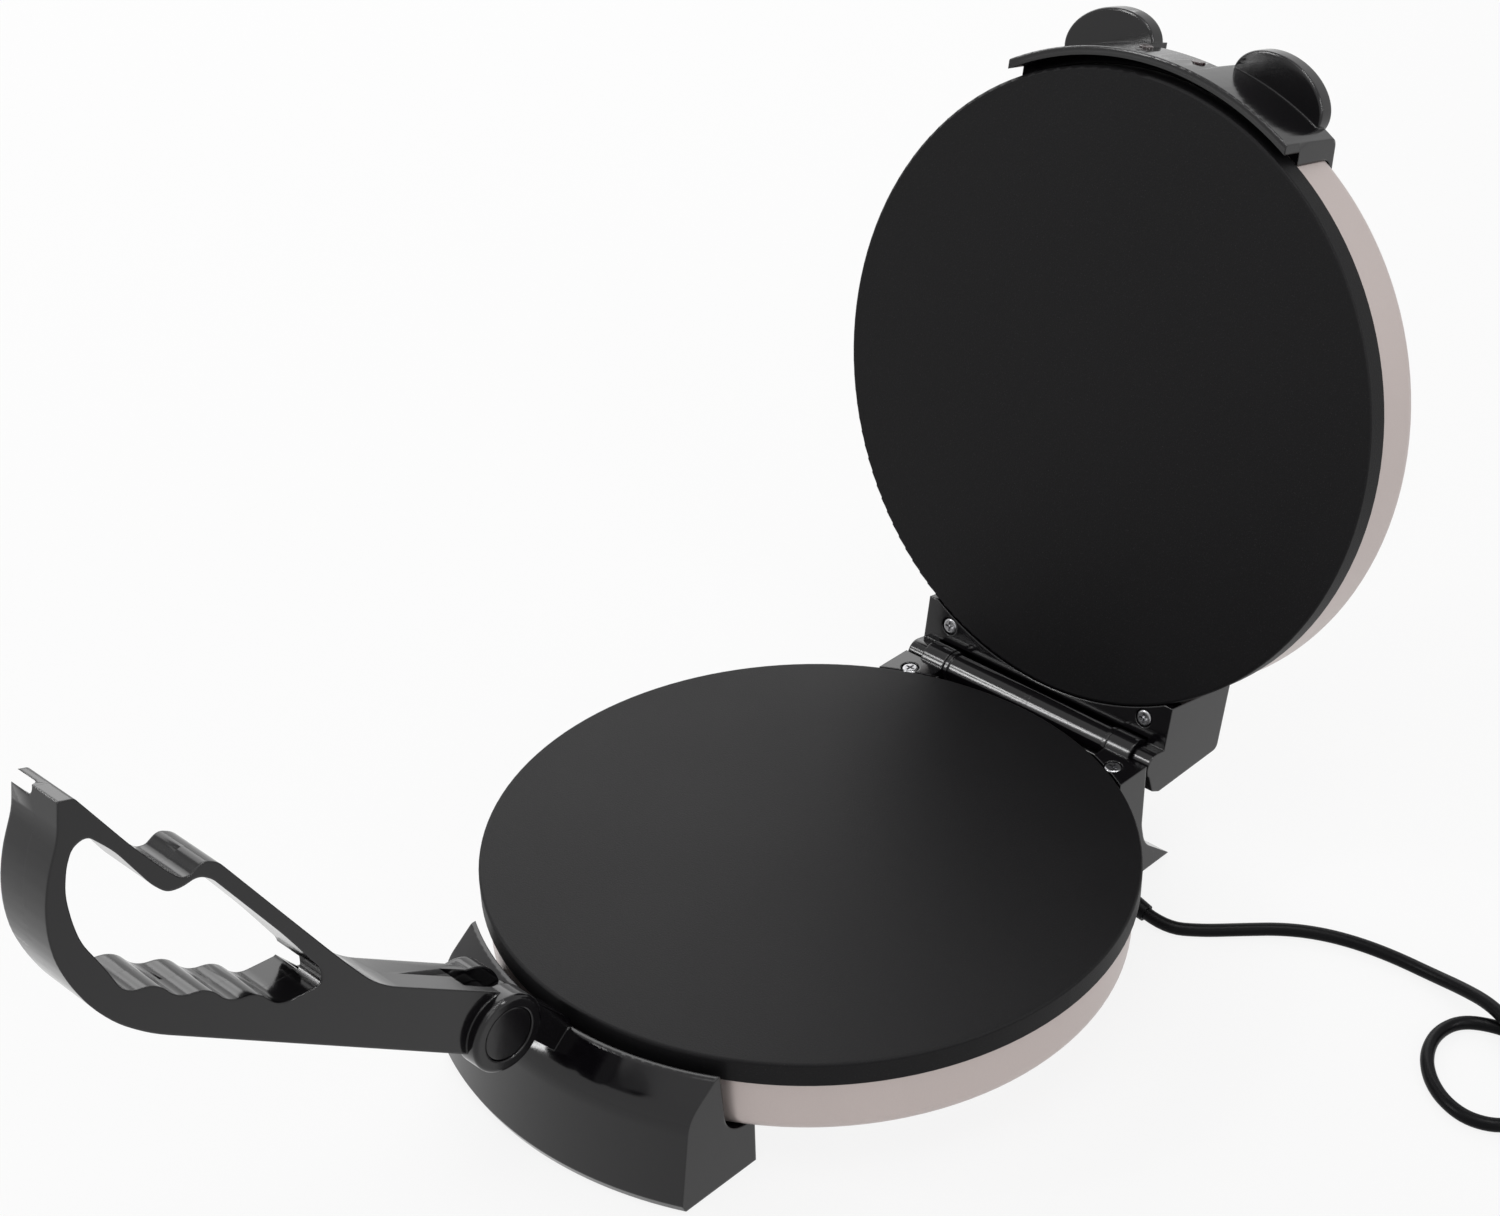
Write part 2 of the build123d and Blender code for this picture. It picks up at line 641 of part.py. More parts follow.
def bottom_cover():
    """Flat cover inside the pan's flange, with radial vents and three screw holes."""
    top = COVER_TOP
    low = top - COVER_SHEET
    cover = post(COVER_RADIUS, low, top)
    vent = Pos(VENT_CIRCLE, 0, 0) * SlotOverall(VENT_LENGTH, VENT_WIDTH)
    for index in range(VENT_COUNT):
        slot = Rot(Z=360 * (index + 1 / 2) / VENT_COUNT) * vent
        cover -= Pos(Z=low - CUT) * extrude(slot, top - low + 2 * CUT)
    for x, y, _ in ring_places(PLATE_BOSS_COUNT, PLATE_BOSS_CIRCLE, PLATE_BOSS_START_ANGLE):
        cover -= post(SCREW_SHANK_RADIUS + SCREW_FIT, low - CUT, top + CUT, x, y)
    return cover


# Feet

def foot_screw_places():
    """The four screws that hold the feet to the pan's flange."""
    x, y = FOOT_SCREW_PLACE
    return [(side * x, end * y) for side in (-1, 1) for end in (-1, 1)]


def pad_places(end):
    """The two rubber pads under one foot."""
    x = FOOT_HALF_WIDTH - PAD_CORNER_INSET
    y = (FOOT_INSET + FOOT_TOE_RADIUS) / 2 - PAD_RADIUS / 2
    return [(-x, end * y), (x, end * y)]


def foot_saddle(inset):
    """Section of the hollow that the pan and the plate's rim sit in, grown by inset."""
    floor_level = PAN_FLOOR - inset
    foot_round = BAND_ROUND + inset + FOOT_PLATE_GAP
    throat = LOWER_PLATE_RADIUS + FOOT_PLATE_GAP + inset
    return rounded([
        (0, CUT, 0),
        (throat + FOOT_TUCK / 2, CUT, 0),
        (throat - FOOT_TUCK, floor_level, foot_round),
        (0, floor_level, 0),
    ])


def foot_bosses(foot, envelope, end):
    """Ribs, screw bosses and pad pockets inside a foot, trimmed to its outer form."""
    inner = Part()
    for x in (-FOOT_RIB_PLACE, FOOT_RIB_PLACE):
        inner += box(
            (x - FOOT_RIB / 2, x + FOOT_RIB / 2),
            sorted((end * (FOOT_INSET - CUT), end * (FOOT_TOE_RADIUS + CUT))),
            (FOOT_BASE + PAD_HEIGHT, 0),
        )
    pocket = PAD_RADIUS + PAD_FIT
    seat = FLOOR + PAD_HEIGHT
    for x, y in pad_places(end):
        inner += post(pocket + PAD_POCKET_WALL, FOOT_BASE, PAN_FLOOR, x, y)
    screws = [(x, y) for x, y in foot_screw_places() if y * end > 0]
    for x, y in screws:
        inner += post(FOOT_BOSS_RADIUS + FOOT_RIB / 2, PAN_FLOOR - SCREW_LENGTH, PAN_FLOOR, x, y)
    foot += inner & envelope
    for x, y in pad_places(end):
        foot -= post(pocket, FLOOR - CUT, seat, x, y)
        foot -= post(pocket - PAD_POCKET_WALL, seat - CUT, PAN_FLOOR - FOOT_WALL, x, y)
    for x, y in screws:
        foot -= post(SCREW_SHANK_RADIUS + SCREW_FIT / 2, FLOOR, PAN_FLOOR + CUT, x, y)
        foot -= post(
            SCREW_HEAD_RADIUS + SCREW_FIT, FLOOR - CUT, PAN_FLOOR - FOOT_WALL - SCREW_FIT, x, y,
        )
    return foot


def front_foot_form(inset):
    """Outer form of the front foot, drawn in by an inset, still full where the pan sits."""
    lip = LOWER_PLATE_RADIUS + FOOT_PLATE_GAP + FOOT_LIP_WIDTH
    top = -FOOT_RIM_DROP + FOOT_EDGE_ROUND
    section = rounded([
        (FOOT_INSET / 2, top - inset, 0),
        (lip - inset, top - inset, FOOT_EDGE_ROUND),
        (FOOT_SHOULDER_RADIUS - inset, -FOOT_SHOULDER_DROP - inset / 2, FOOT_SHOULDER_DROP),
        (FOOT_TOE_RADIUS - inset, -FOOT_TOE_DROP, 0),
        (FOOT_TOE_RADIUS - FOOT_TUCK - inset, FOOT_BASE - (CUT if inset else 0), 0),
        (FOOT_INSET / 2, FOOT_BASE - (CUT if inset else 0), 0),
    ])
    half = FOOT_HALF_WIDTH - inset
    return turned(section) & box(
        (-half, half), (-FOOT_TOE_RADIUS - CUT, -FOOT_INSET - inset), (FLOOR - CUT, CUT),
    )


def lug_outline():
    """Side outline of the lever's lug, from the pivot."""
    corner_y, corner_z = LUG_CORNER
    shoulder_y, shoulder_z = LUG_SHOULDER
    toe_y, toe_z = LUG_TOE
    chin_y, chin_z = LUG_CHIN
    web = rounded([
        (0, chin_z / 2, 0),
        (0, corner_z, 0),
        (corner_y, corner_z, LUG_HALF / 4),
        (shoulder_y, shoulder_z, 0),
        (shoulder_y, shoulder_z - LUG_ROOT_DEPTH, 0),
        (toe_y, toe_z, 0),
        (chin_y, chin_z, LUG_HALF / 2),
    ])
    return Pos(-PIVOT_REACH, PIVOT_HEIGHT) * (web + Circle(LUG_HUB_RADIUS))


def front_foot():
    """Moulded front foot: curved wall, flat ends, saddle for the pan and the lever's lug."""
    form = front_foot_form(0)
    hollow = front_foot_form(FOOT_WALL) - turned(foot_saddle(FOOT_WALL))
    foot = form - hollow
    foot = foot_bosses(foot, form, -1)
    foot -= turned(foot_saddle(0))
    foot += slab(lug_outline(), -LUG_HALF, LUG_HALF)
    return foot - rod(
        LEVER_PIN_RADIUS + LEVER_PIN_FIT / 2, -LUG_HALF - CUT, LUG_HALF + CUT,
        -PIVOT_REACH, PIVOT_HEIGHT,
    )


def rear_foot_form(inset):
    """Outer form of the rear foot, drawn in by an inset."""
    base = FOOT_BASE - (CUT if inset else 0)
    wall = REAR_WALL_REACH - inset
    section = rounded([
        (FOOT_INSET - FOOT_TUCK / 2 + inset, base, 0),
        (REAR_TOE_REACH - inset, base, 0),
        (REAR_FLARE_REACH - inset, -REAR_FLARE_DROP, REAR_KNEE_DROP / 2),
        (wall, -REAR_KNEE_DROP, REAR_KNEE_DROP / 2),
        (wall, -REAR_EAR_TOP - inset, 0),
        (FOOT_INSET - FOOT_TUCK / 2 + inset, -REAR_EAR_TOP - inset, 0),
    ])
    half = FOOT_HALF_WIDTH - inset
    return slab(section, -half, half)


def rear_saddle(inset):
    """Section of the rear hollow: close round the pan, wider for the plate's rim."""
    radius = BAND_RADIUS + FOOT_PAN_GAP + inset
    rim = LOWER_PLATE_RADIUS + REAR_EAR_GAP + inset
    level = PAN_FLOOR - inset
    return rounded([
        (0, CUT, 0),
        (rim, CUT, 0),
        (rim, -REAR_SADDLE_TOP - inset, 0),
        (radius, -REAR_SADDLE_TOP - inset, 0),
        (radius, level, BAND_ROUND + inset),
        (0, level, 0),
    ])


def rear_foot():
    """Moulded rear foot: ears, hinge knuckles, cord outlet and a saddle for the pan."""
    form = rear_foot_form(0)
    hollow = rear_foot_form(FOOT_WALL) - turned(rear_saddle(FOOT_WALL))
    swing = BARREL_RING_RADIUS + HINGE_SWING_GAP
    middle = box(
        (-KNUCKLE_INNER, KNUCKLE_INNER),
        (FOOT_INSET, REAR_TOE_REACH),
        (-REAR_SADDLE_TOP - FOOT_PAN_GAP, CUT),
    )
    cheek_space = rod(
        CHEEK_LOBE_RADIUS + HINGE_SWING_GAP, KNUCKLE_OUTER, FOOT_HALF_WIDTH + CUT,
        HINGE_REACH, -HINGE_DROP,
    )
    knuckle_length = (KNUCKLE_INNER, KNUCKLE_OUTER)
    web = flat([
        (REAR_WALL_REACH - FOOT_WALL, -REAR_EAR_TOP - KNUCKLE_WEB_RISE / 2),
        (HINGE_REACH, -HINGE_DROP + KNUCKLE_WEB_RISE),
        (HINGE_REACH, -HINGE_DROP - KNUCKLE_RADIUS),
        (REAR_WALL_REACH - FOOT_WALL, -REAR_KNEE_DROP + KNUCKLE_RADIUS),
    ])
    knuckle = rod(KNUCKLE_RADIUS, *knuckle_length, HINGE_REACH, -HINGE_DROP) + slab(web, *knuckle_length)
    foot = form - hollow
    foot = foot_bosses(foot, form, 1)
    foot -= turned(rear_saddle(0)) + middle
    foot -= rod(swing, -KNUCKLE_INNER, KNUCKLE_INNER, HINGE_REACH, -HINGE_DROP)
    for side_space, side_knuckle in zip(mirrored_pair(cheek_space), mirrored_pair(knuckle)):
        foot -= side_space
        foot += side_knuckle - turned(rear_saddle(0))
    x, y = EAR_SCREW_PLACE
    for side in (-1, 1):
        foot += post(FOOT_BOSS_RADIUS, -SCREW_LENGTH, -REAR_EAR_TOP, side * x, y) - turned(rear_saddle(0))
        foot -= post(SCREW_SHANK_RADIUS, -SCREW_LENGTH - CUT, CUT, side * x, y)
        foot -= post(SCREW_HEAD_RADIUS + SCREW_FIT, -REAR_EAR_TOP - SCREW_HEAD_HEIGHT, CUT, side * x, y)
    foot -= rod(HINGE_PIN_RADIUS, -FOOT_HALF_WIDTH, FOOT_HALF_WIDTH, HINGE_REACH, -HINGE_DROP)
    exit_x, exit_y, exit_z = CORD_EXIT
    foot -= rod(RELIEF_ROOT_RADIUS, exit_x - FOOT_WALL - CUT, exit_x + CUT, exit_y, exit_z)
    for x, y in SUPPLY_WIRE_PLACES:
        foot -= post(WIRE_RADIUS + WIRE_FIT, PAN_FLOOR - 2 * FOOT_WALL, PAN_FLOOR + CUT, x, y)
    return foot


def hinge_pin():
    """Steel rod through the knuckles, the lid's barrel and its cheeks."""
    pin = rod(HINGE_PIN_RADIUS, -HINGE_PIN_HALF, HINGE_PIN_HALF, HINGE_REACH, -HINGE_DROP)
    return chamfer(pin.edges().filter_by(GeomType.CIRCLE), HINGE_PIN_RADIUS / 6)


def rubber_feet():
    """Four round pads pressed into the feet."""
    pads = []
    for end in (-1, 1):
        for x, y in pad_places(end):
            pad = post(PAD_RADIUS, FLOOR, FLOOR + PAD_HEIGHT, x, y)
            pads.append(fillet(pad.edges().group_by(Axis.Z)[0], PAD_PROUD))
    return pads


# Lid mouldings, made in the closed lid's place

def lamp_bar(side, radius, length):
    """A bar along Y at a lamp's place, from the front wall inwards."""
    low = -LID_FRONT_RADIUS + LID_FRONT_SKIRT_GAP
    bar = Rot(X=90) * Cylinder(radius, length)
    return Pos(side * LAMP_SPREAD, low + length / 2, LAMP_HEIGHT) * bar


def front_moulding_section():
    """Section of the lid's front cover, from its lower edge to the dome."""
    plate_gap = LID_FRONT_SKIRT_GAP
    inner = BAND_RADIUS + MOULDING_FIT
    edge = DOME_EDGE_RADIUS
    return rounded([
        (UPPER_PLATE_RADIUS + plate_gap, LID_FACE, 0),
        (LID_FRONT_RADIUS, LID_FACE, LID_FRONT_DRAFT),
        (LID_FRONT_RADIUS - LID_FRONT_DRAFT, LID_RIM + MOULDING_FIT / 2, LID_FRONT_ROUND),
        (LID_FRONT_COVER_RADIUS, LID_RIM + LID_FRONT_COVER + MOULDING_FIT, 0),
        (LID_FRONT_COVER_RADIUS, LID_RIM + MOULDING_FIT + LID_FRONT_DRAFT / 4, 0),
        (edge, LID_RIM + MOULDING_FIT, 0),
        (inner, LID_RIM + MOULDING_FIT, BAND_ROUND - MOULDING_FIT),
        (inner, LID_BAND_BASE + MOULDING_FIT, 0),
        (UPPER_PLATE_RADIUS + MOULDING_FIT, LID_BAND_BASE - MOULDING_FIT, 0),
    ])


def finger_tab():
    """One D-shaped tab on the lid's front, undercut for the fingers."""
    root = TAB_ROOT_REACH - FOOT_WALL
    inner = CHANNEL_HALF
    width = TAB_OUTER - inner
    step = TAB_REACH - TAB_ROOT_REACH
    plan = rounded([
        (inner, -root, 0),
        (inner, -TAB_REACH + step / 4, TAB_ROUND),
        (inner + width / 4, -TAB_REACH, width / 2),
        (inner + width * 3 / 5, -TAB_REACH + step / 6, width / 2),
        (TAB_OUTER, -TAB_ROOT_REACH - step / 8, TAB_ROUND),
        (TAB_OUTER, -root, 0),
    ])
    side = rounded([
        (-root, TAB_ROOT_BASE, 0),
        (-TAB_ROOT_REACH, TAB_ROOT_BASE, TAB_ROUND),
        (-TAB_REACH, TAB_RIM_BASE, TAB_EDGE_ROUND),
        (-TAB_REACH, TAB_TOP, TAB_EDGE_ROUND * 2),
        (-root, TAB_TOP, 0),
    ])
    block = Pos(Z=TAB_ROOT_BASE - CUT) * extrude(plan, TAB_TOP - TAB_ROOT_BASE + 2 * CUT)
    return block & slab(side, inner, TAB_OUTER)


def lid_front_moulding():
    """Front cover of the lid with its finger tabs, lamp holes and lever channel."""
    half = FOOT_HALF_WIDTH
    keep = box((-half, half), (-TAB_REACH - CUT, -LID_FRONT_COVER_RADIUS / 2), (-CUT, DOME_TOP + CUT))
    inner_space = turned(flat([
        (0, LID_FACE - CUT),
        (UPPER_PLATE_RADIUS + LID_FRONT_SKIRT_GAP, LID_FACE - CUT),
        (UPPER_PLATE_RADIUS + LID_FRONT_SKIRT_GAP, LID_BAND_BASE - MOULDING_FIT),
        (0, LID_BAND_BASE - MOULDING_FIT),
    ]))
    cover = turned(front_moulding_section()) & keep
    for tab in mirrored_pair(finger_tab()):
        cover += tab - turned(front_tab_limit())
    cover -= inner_space
    wide = CHANNEL_HALF + CHANNEL_SKIN
    cover -= slab(ramp(0), -CHANNEL_HALF, CHANNEL_HALF)
    trough = lid_envelope(-2 * MOULDING_FIT) & slab(ramp(CHANNEL_SKIN), -wide, wide)
    cover += trough - slab(ramp(0), -CHANNEL_HALF, CHANNEL_HALF)
    for side in (-1, 1):
        hole = Rot(X=90) * Cylinder(LENS_RADIUS + MOULDING_FIT / 3, 2 * CUT)
        cover -= Pos(side * LAMP_SPREAD, -LID_FRONT_RADIUS + LID_FRONT_SKIRT_GAP / 2, LAMP_HEIGHT) * hole
        cover -= lamp_bar(side, LAMP_RADIUS + MOULDING_FIT / 3, LAMP_LENGTH + CUT)
    return cover


def front_tab_limit():
    """The space inside the front wall that no tab reaches into."""
    radius = LID_FRONT_RADIUS - LID_FRONT_SKIRT_GAP
    return flat([(0, -CUT), (radius, -CUT), (radius, DOME_TOP + CUT), (0, DOME_TOP + CUT)])


def indicator_lenses():
    """Two round windows for the power and ready lamps."""
    lenses = []
    for side in (-1, 1):
        face = -sqrt((LID_FRONT_RADIUS - LID_FRONT_DRAFT / 2) ** 2 - LAMP_SPREAD ** 2)
        length = LID_FRONT_SKIRT_GAP
        lens = Rot(X=90) * Cylinder(LENS_RADIUS, length)
        lens = fillet(lens.edges().sort_by(Axis.Y)[0], LENS_PROUD)
        lenses.append(Pos(side * LAMP_SPREAD, face - LENS_PROUD + length / 2, LAMP_HEIGHT) * lens)
    return lenses


def indicator_lamps():
    """Two neon lamps behind the windows, through holes in the band."""
    lamps = []
    face = -sqrt((LID_FRONT_RADIUS - LID_FRONT_DRAFT / 2) ** 2 - LAMP_SPREAD ** 2)
    start = face - LENS_PROUD + LID_FRONT_SKIRT_GAP
    for side in (-1, 1):
        lamp = Rot(X=90) * Cylinder(LAMP_RADIUS, LAMP_LENGTH)
        lamps.append(Pos(side * LAMP_SPREAD, start + LAMP_LENGTH / 2, LAMP_HEIGHT) * lamp)
    return lamps


def lid_rear_outline(inset):
    """Side outline of the lid's rear cover, drawn in by an inset."""
    heel_y, heel_z = LID_REAR_HEEL
    corners = [
        (LID_REAR_INNER + inset, LID_FACE + inset, 0),
        (LID_REAR_INNER + inset, LID_REAR_TOP - inset, 0),
        (LID_REAR_TOP_REACH - inset, LID_REAR_TOP - inset, LID_REAR_ROUND - inset / 2),
    ]
    if inset:
        return rounded([*corners, (heel_y - inset, LID_FACE + inset, 0)])
    return rounded([*corners, (heel_y, heel_z, LID_REAR_ROUND), (*LID_REAR_TAIL, 0), (HINGE_REACH, LID_FACE, 0)])


def lid_rear_saddle(grow):
    """The lid's body and plate edge as seen by its rear cover."""
    radius = BAND_RADIUS + MOULDING_FIT + grow
    rim = LID_RIM + MOULDING_FIT + grow
    plate = UPPER_PLATE_RADIUS + MOULDING_FIT + grow
    return turned(rounded([
        (0, LID_FACE - 2 * CUT, 0),
        (plate, LID_FACE - 2 * CUT, 0),
        (plate, LID_BAND_BASE + MOULDING_FIT, 0),
        (radius, LID_BAND_BASE + MOULDING_FIT, 0),
        (radius, rim, BAND_ROUND),
        (DOME_EDGE_RADIUS, rim, 0),
        (0, DOME_TOP + MOULDING_FIT + grow, 0),
    ]))


def lid_rear_moulding():
    """Rear cover of the lid: a hollow block with hinge cheeks and a central barrel."""
    half = FOOT_HALF_WIDTH
    block = slab(lid_rear_outline(0), -half, half)
    hollow = slab(lid_rear_outline(LID_REAR_WALL), -half + LID_REAR_WALL, half - LID_REAR_WALL)
    hollow -= lid_rear_saddle(LID_REAR_WALL)
    cover = block - hollow - lid_rear_saddle(0)
    inner = CHEEK_INNER
    tail = box((-inner, inner), (HINGE_REACH, REAR_TOE_REACH + CUT), (-HINGE_DROP - KNUCKLE_RADIUS, LID_FACE))
    cover -= tail
    knuckle_space = rod(
        KNUCKLE_RADIUS + HINGE_SWING_GAP, -inner, inner, HINGE_REACH, -HINGE_DROP,
    )
    cover -= knuckle_space
    lobe = rod(CHEEK_LOBE_RADIUS, inner, half, HINGE_REACH, -HINGE_DROP)
    neck = flat([
        (HINGE_REACH - CHEEK_LOBE_RADIUS, -HINGE_DROP),
        (HINGE_REACH - CHEEK_LOBE_RADIUS, LID_FACE + LID_REAR_WALL),
        (LID_REAR_TAIL[0], LID_REAR_HEEL[1]),
        (LID_REAR_TAIL[0], LID_REAR_TAIL[1]),
        (HINGE_REACH, -HINGE_DROP - CHEEK_LOBE_RADIUS),
    ])
    solid_cheek = slab(lid_rear_outline(0), inner, half)
    for cheek in mirrored_pair((lobe + slab(neck, inner, half) + solid_cheek) - lid_rear_saddle(0)):
        cover += cheek
    barrel = rod(BARREL_RADIUS, -BARREL_HALF, BARREL_HALF, HINGE_REACH, -HINGE_DROP)
    for side in (-1, 0, 1):
        centre = side * (BARREL_HALF - BARREL_RING_WIDTH / 2)
        ring = BARREL_RING_RADIUS if side else BARREL_RADIUS + HINGE_PIN_FIT
        barrel += rod(
            ring, centre - BARREL_RING_WIDTH / 2, centre + BARREL_RING_WIDTH / 2,
            HINGE_REACH, -HINGE_DROP,
        )
    bridge = flat([
        (HINGE_REACH - BARREL_RADIUS / 3, LID_FACE + BARREL_RADIUS / 3),
        (HINGE_REACH - BARREL_RADIUS / 3, LID_FACE + 2 * BARREL_RADIUS),
        (LID_REAR_HEEL[0] - LID_REAR_WALL / 2, LID_FACE + 2 * BARREL_RADIUS),
        (LID_REAR_HEEL[0] - LID_REAR_WALL / 2, LID_REAR_HEEL[1]),
        (HINGE_REACH + BARREL_RADIUS, -HINGE_DROP),
        (HINGE_REACH, -HINGE_DROP),
    ])
    cover += barrel + (slab(bridge, -BARREL_HALF, BARREL_HALF) - lid_rear_saddle(0))
    cover -= rod(
        HINGE_PIN_RADIUS + HINGE_PIN_FIT, -HINGE_PIN_HALF - MOULDING_FIT, HINGE_PIN_HALF + MOULDING_FIT,
        HINGE_REACH, -HINGE_DROP,
    )
    for side in (-1, 1):
        hole = Rot(X=90) * Cylinder(WIRE_RADIUS + WIRE_FIT, 2 * CUT)
        cover -= Pos(side * LID_WIRE_SPREAD, BAND_RADIUS, LID_WIRE_HEIGHT) * hole
    x, y = LID_SCREW_PLACE
    for side in (-1, 1):
        boss = post(FOOT_BOSS_RADIUS, LID_FACE, LID_REAR_TOP - LID_REAR_WALL, side * x, y)
        cover += boss - lid_rear_saddle(0)
        cover -= post(SCREW_SHANK_RADIUS, LID_FACE - CUT, LID_FACE + SCREW_LENGTH + CUT, side * x, y)
        cover -= post(
            SCREW_HEAD_RADIUS + SCREW_FIT, LID_FACE - CUT, LID_FACE + SCREW_HEAD_HEIGHT, side * x, y,
        )
    return cover


# Press lever

LEVER_PLANE = Plane(
    origin=(0, -PIVOT_REACH, PIVOT_HEIGHT),
    x_dir=(0, -cos(radians(LEVER_REST_ANGLE)), sin(radians(LEVER_REST_ANGLE))),
    z_dir=(-1, 0, 0),
)

# Outline of the lever as shares of its length: along, up, and how far its corner is eased
LEVER_OUTLINE_SHARES = [
    (0.0, -0.0515, 0),
    (0.7425, -0.0515, 1),
    (0.8125, -0.040, 1),
    (0.872, -0.017, 1),
    (0.9235, 0.0145, 1),
    (0.9625, 0.0465, 1),
    (0.9905, 0.0815, 1),
    (1.0125, 0.121, 1),
    (1.028, 0.166, 1),
    (1.0375, 0.2245, 0.6),
    (1.0605, 0.2765, 0.12),
    (1.0355, 0.285, 0.3),
    (0.9115, 0.230, 0.6),
    (0.830, 0.199, 0.9),
    (0.803, 0.1925, 0.9),
    (0.7885, 0.1985, 0.7),
    (0.7765, 0.2225, 0.9),
    (0.7480, 0.225, 0.9),
    (0.559, 0.1475, 0.5),
    (0.4325, 0.096, 0.8),
    (0.326, 0.0565, 0.9),
    (0.0, 0.0665, 0),
]

# The loop's far end and its upper edge, from the tip end round to the pivot end
LOOP_OUTLINE_SHARES = [
    (0.8735, 0.0445, 0.8),
    (0.931, 0.078, 1),
    (0.9615, 0.109, 1),
    (0.9905, 0.1475, 1),
    (1.0055, 0.187, 1),
    (1.0085, 0.2155, 1),
    (0.992, 0.2345, 1),
    (0.937, 0.219, 0.8),
    (0.8485, 0.176, 1),
    (0.818, 0.1685, 1),
    (0.795, 0.1785, 1),
    (0.775, 0.1985, 1),
    (0.748, 0.1985, 1),
    (0.565, 0.1235, 0.6),
    (0.464, 0.0765, 0.8),
    (0.448, 0.051, 0.9),
]


def eased(points):
    """Corners with a radius each, as round as their two runs and their ease allow."""
    corners = []
    count = len(points)
    for index, (a, b, ease) in enumerate(points):
        before = Vector(*points[index - 1][:2])
        here = Vector(a, b)
        after = Vector(*points[(index + 1) % count][:2])
        run_in, run_out = here - before, after - here
        turn = radians(run_in.get_angle(run_out))
        reach = EASE_SHARE * min(run_in.length, run_out.length)
        corners.append((a, b, ease * reach / tan(turn / 2) if ease else 0))
    return corners


def drawn_in(corners, distance):
    """The same corners with every side moved inwards by a distance, radii kept concentric."""
    moved = []
    count = len(corners)
    for index, (a, b, radius) in enumerate(corners):
        before = Vector(*corners[index - 1][:2])
        here = Vector(a, b)
        after = Vector(*corners[(index + 1) % count][:2])
        run_in, run_out = (here - before).normalized(), (after - here).normalized()
        side = Vector(-run_in.Y - run_out.Y, run_in.X + run_out.X)
        place = here + side * (distance / (1 + run_in.dot(run_out)))
        outward_turn = run_in.cross(run_out).Z > 0
        new_radius = radius - distance if outward_turn else radius + distance
        moved.append((place.X, place.Y, max(new_radius, 0) if radius else 0))
    return moved


def lever_corners():
    """Corners of the whole lever's side outline."""
    return eased([(a * LEVER_LENGTH, b * LEVER_LENGTH, ease) for a, b, ease in LEVER_OUTLINE_SHARES])


def loop_corners():
    """Corners of the hand opening, with a wave for each finger along its lower edge."""
    points = [(a * LEVER_LENGTH, b * LEVER_LENGTH, ease) for a, b, ease in LOOP_OUTLINE_SHARES]
    for index in range(2 * GRIP_COUNT - 1):
        along = (GRIP_START_SHARE + index * GRIP_PITCH_SHARE / 2) * LEVER_LENGTH
        wave = GRIP_WAVE_SHARE if index % 2 else -GRIP_WAVE_SHARE
        up = (GRIP_LEVEL_SHARE + wave) * LEVER_LENGTH
        points.append((along, up, 1))
    return eased(points)


# The two notches of the left half: place of the open end, its heading in degrees, and depth
NOTCH_SHARES = [(1.052, 0.275, 62.0, 0.045), (0.455, 0.06, 15.0, 0.045)]

LEVER_BOSS_SHARES = [(0.17, 0.003), (0.37, 0.012), (0.722, -0.0175)]


def lever_prism(face, side, start, end):
    """A face of the lever's side plane, carried outwards between two distances from it."""
    return Pos(X=side * start) * extrude(LEVER_PLANE * face, end - start, dir=(side, 0, 0))


def lever_shell(side):
    """One half of the lever: arm, hand loop, hinge barrel and screw bosses."""
    outline = lever_corners()
    loop = loop_corners()
    shell = lever_prism(rounded(outline) - rounded(loop), side, 0, LEVER_HALF)
    cavity = rounded(drawn_in(outline, LEVER_WALL)) - rounded(drawn_in(loop, -LEVER_WALL))
    root = SLOT_INNER_REACH + LEVER_WALL
    cavity -= Rectangle(2 * root, LEVER_LENGTH)
    largest = cavity.faces().sort_by(SortBy.AREA)[-1]
    shell -= lever_prism(largest, side, 0, LEVER_HALF - LEVER_WALL)
    for a, b in LEVER_BOSS_SHARES:
        place = Pos(a * LEVER_LENGTH, b * LEVER_LENGTH)
        shell += lever_prism(place * Circle(LEVER_BOSS_RADIUS), side, 0, LEVER_HALF - LEVER_WALL / 2)
        if side > 0:
            shell -= lever_prism(place * Circle(SCREW_SHANK_RADIUS), side, 0, LEVER_HALF - LEVER_WALL)
        else:
            shell -= lever_prism(place * Circle(SCREW_SHANK_RADIUS + SCREW_FIT), side, 0, LEVER_HALF + CUT)
            sink = LEVER_HALF - SCREW_HEAD_HEIGHT
            shell -= lever_prism(place * Circle(SCREW_HEAD_RADIUS + SCREW_FIT), side, sink, LEVER_HALF + CUT)
    barrel = lever_prism(Circle(LEVER_BARREL_RADIUS), side, SLOT_HALF, BARREL_FACE)
    outer = barrel.edges().filter_by(GeomType.CIRCLE).sort_by(Axis.X)[-1 if side > 0 else 0]
    shell += fillet(outer, LEVER_BARREL_ROUND)
    gap = Circle(SLOT_RADIUS) + flat([
        (0, 0), (SLOT_RADIUS, 0), (SLOT_INNER_REACH, SLOT_RADIUS), (0, SLOT_RADIUS),
    ])
    shell -= lever_prism(gap, side, 0, SLOT_HALF)
    shell -= lever_prism(Circle(CAP_RADIUS + CAP_FIT), side, BARREL_FACE - CAP_DEPTH, BARREL_FACE + CUT)
    return shell - lever_prism(Circle(LEVER_PIN_RADIUS + LEVER_PIN_FIT), side, 0, BARREL_FACE)


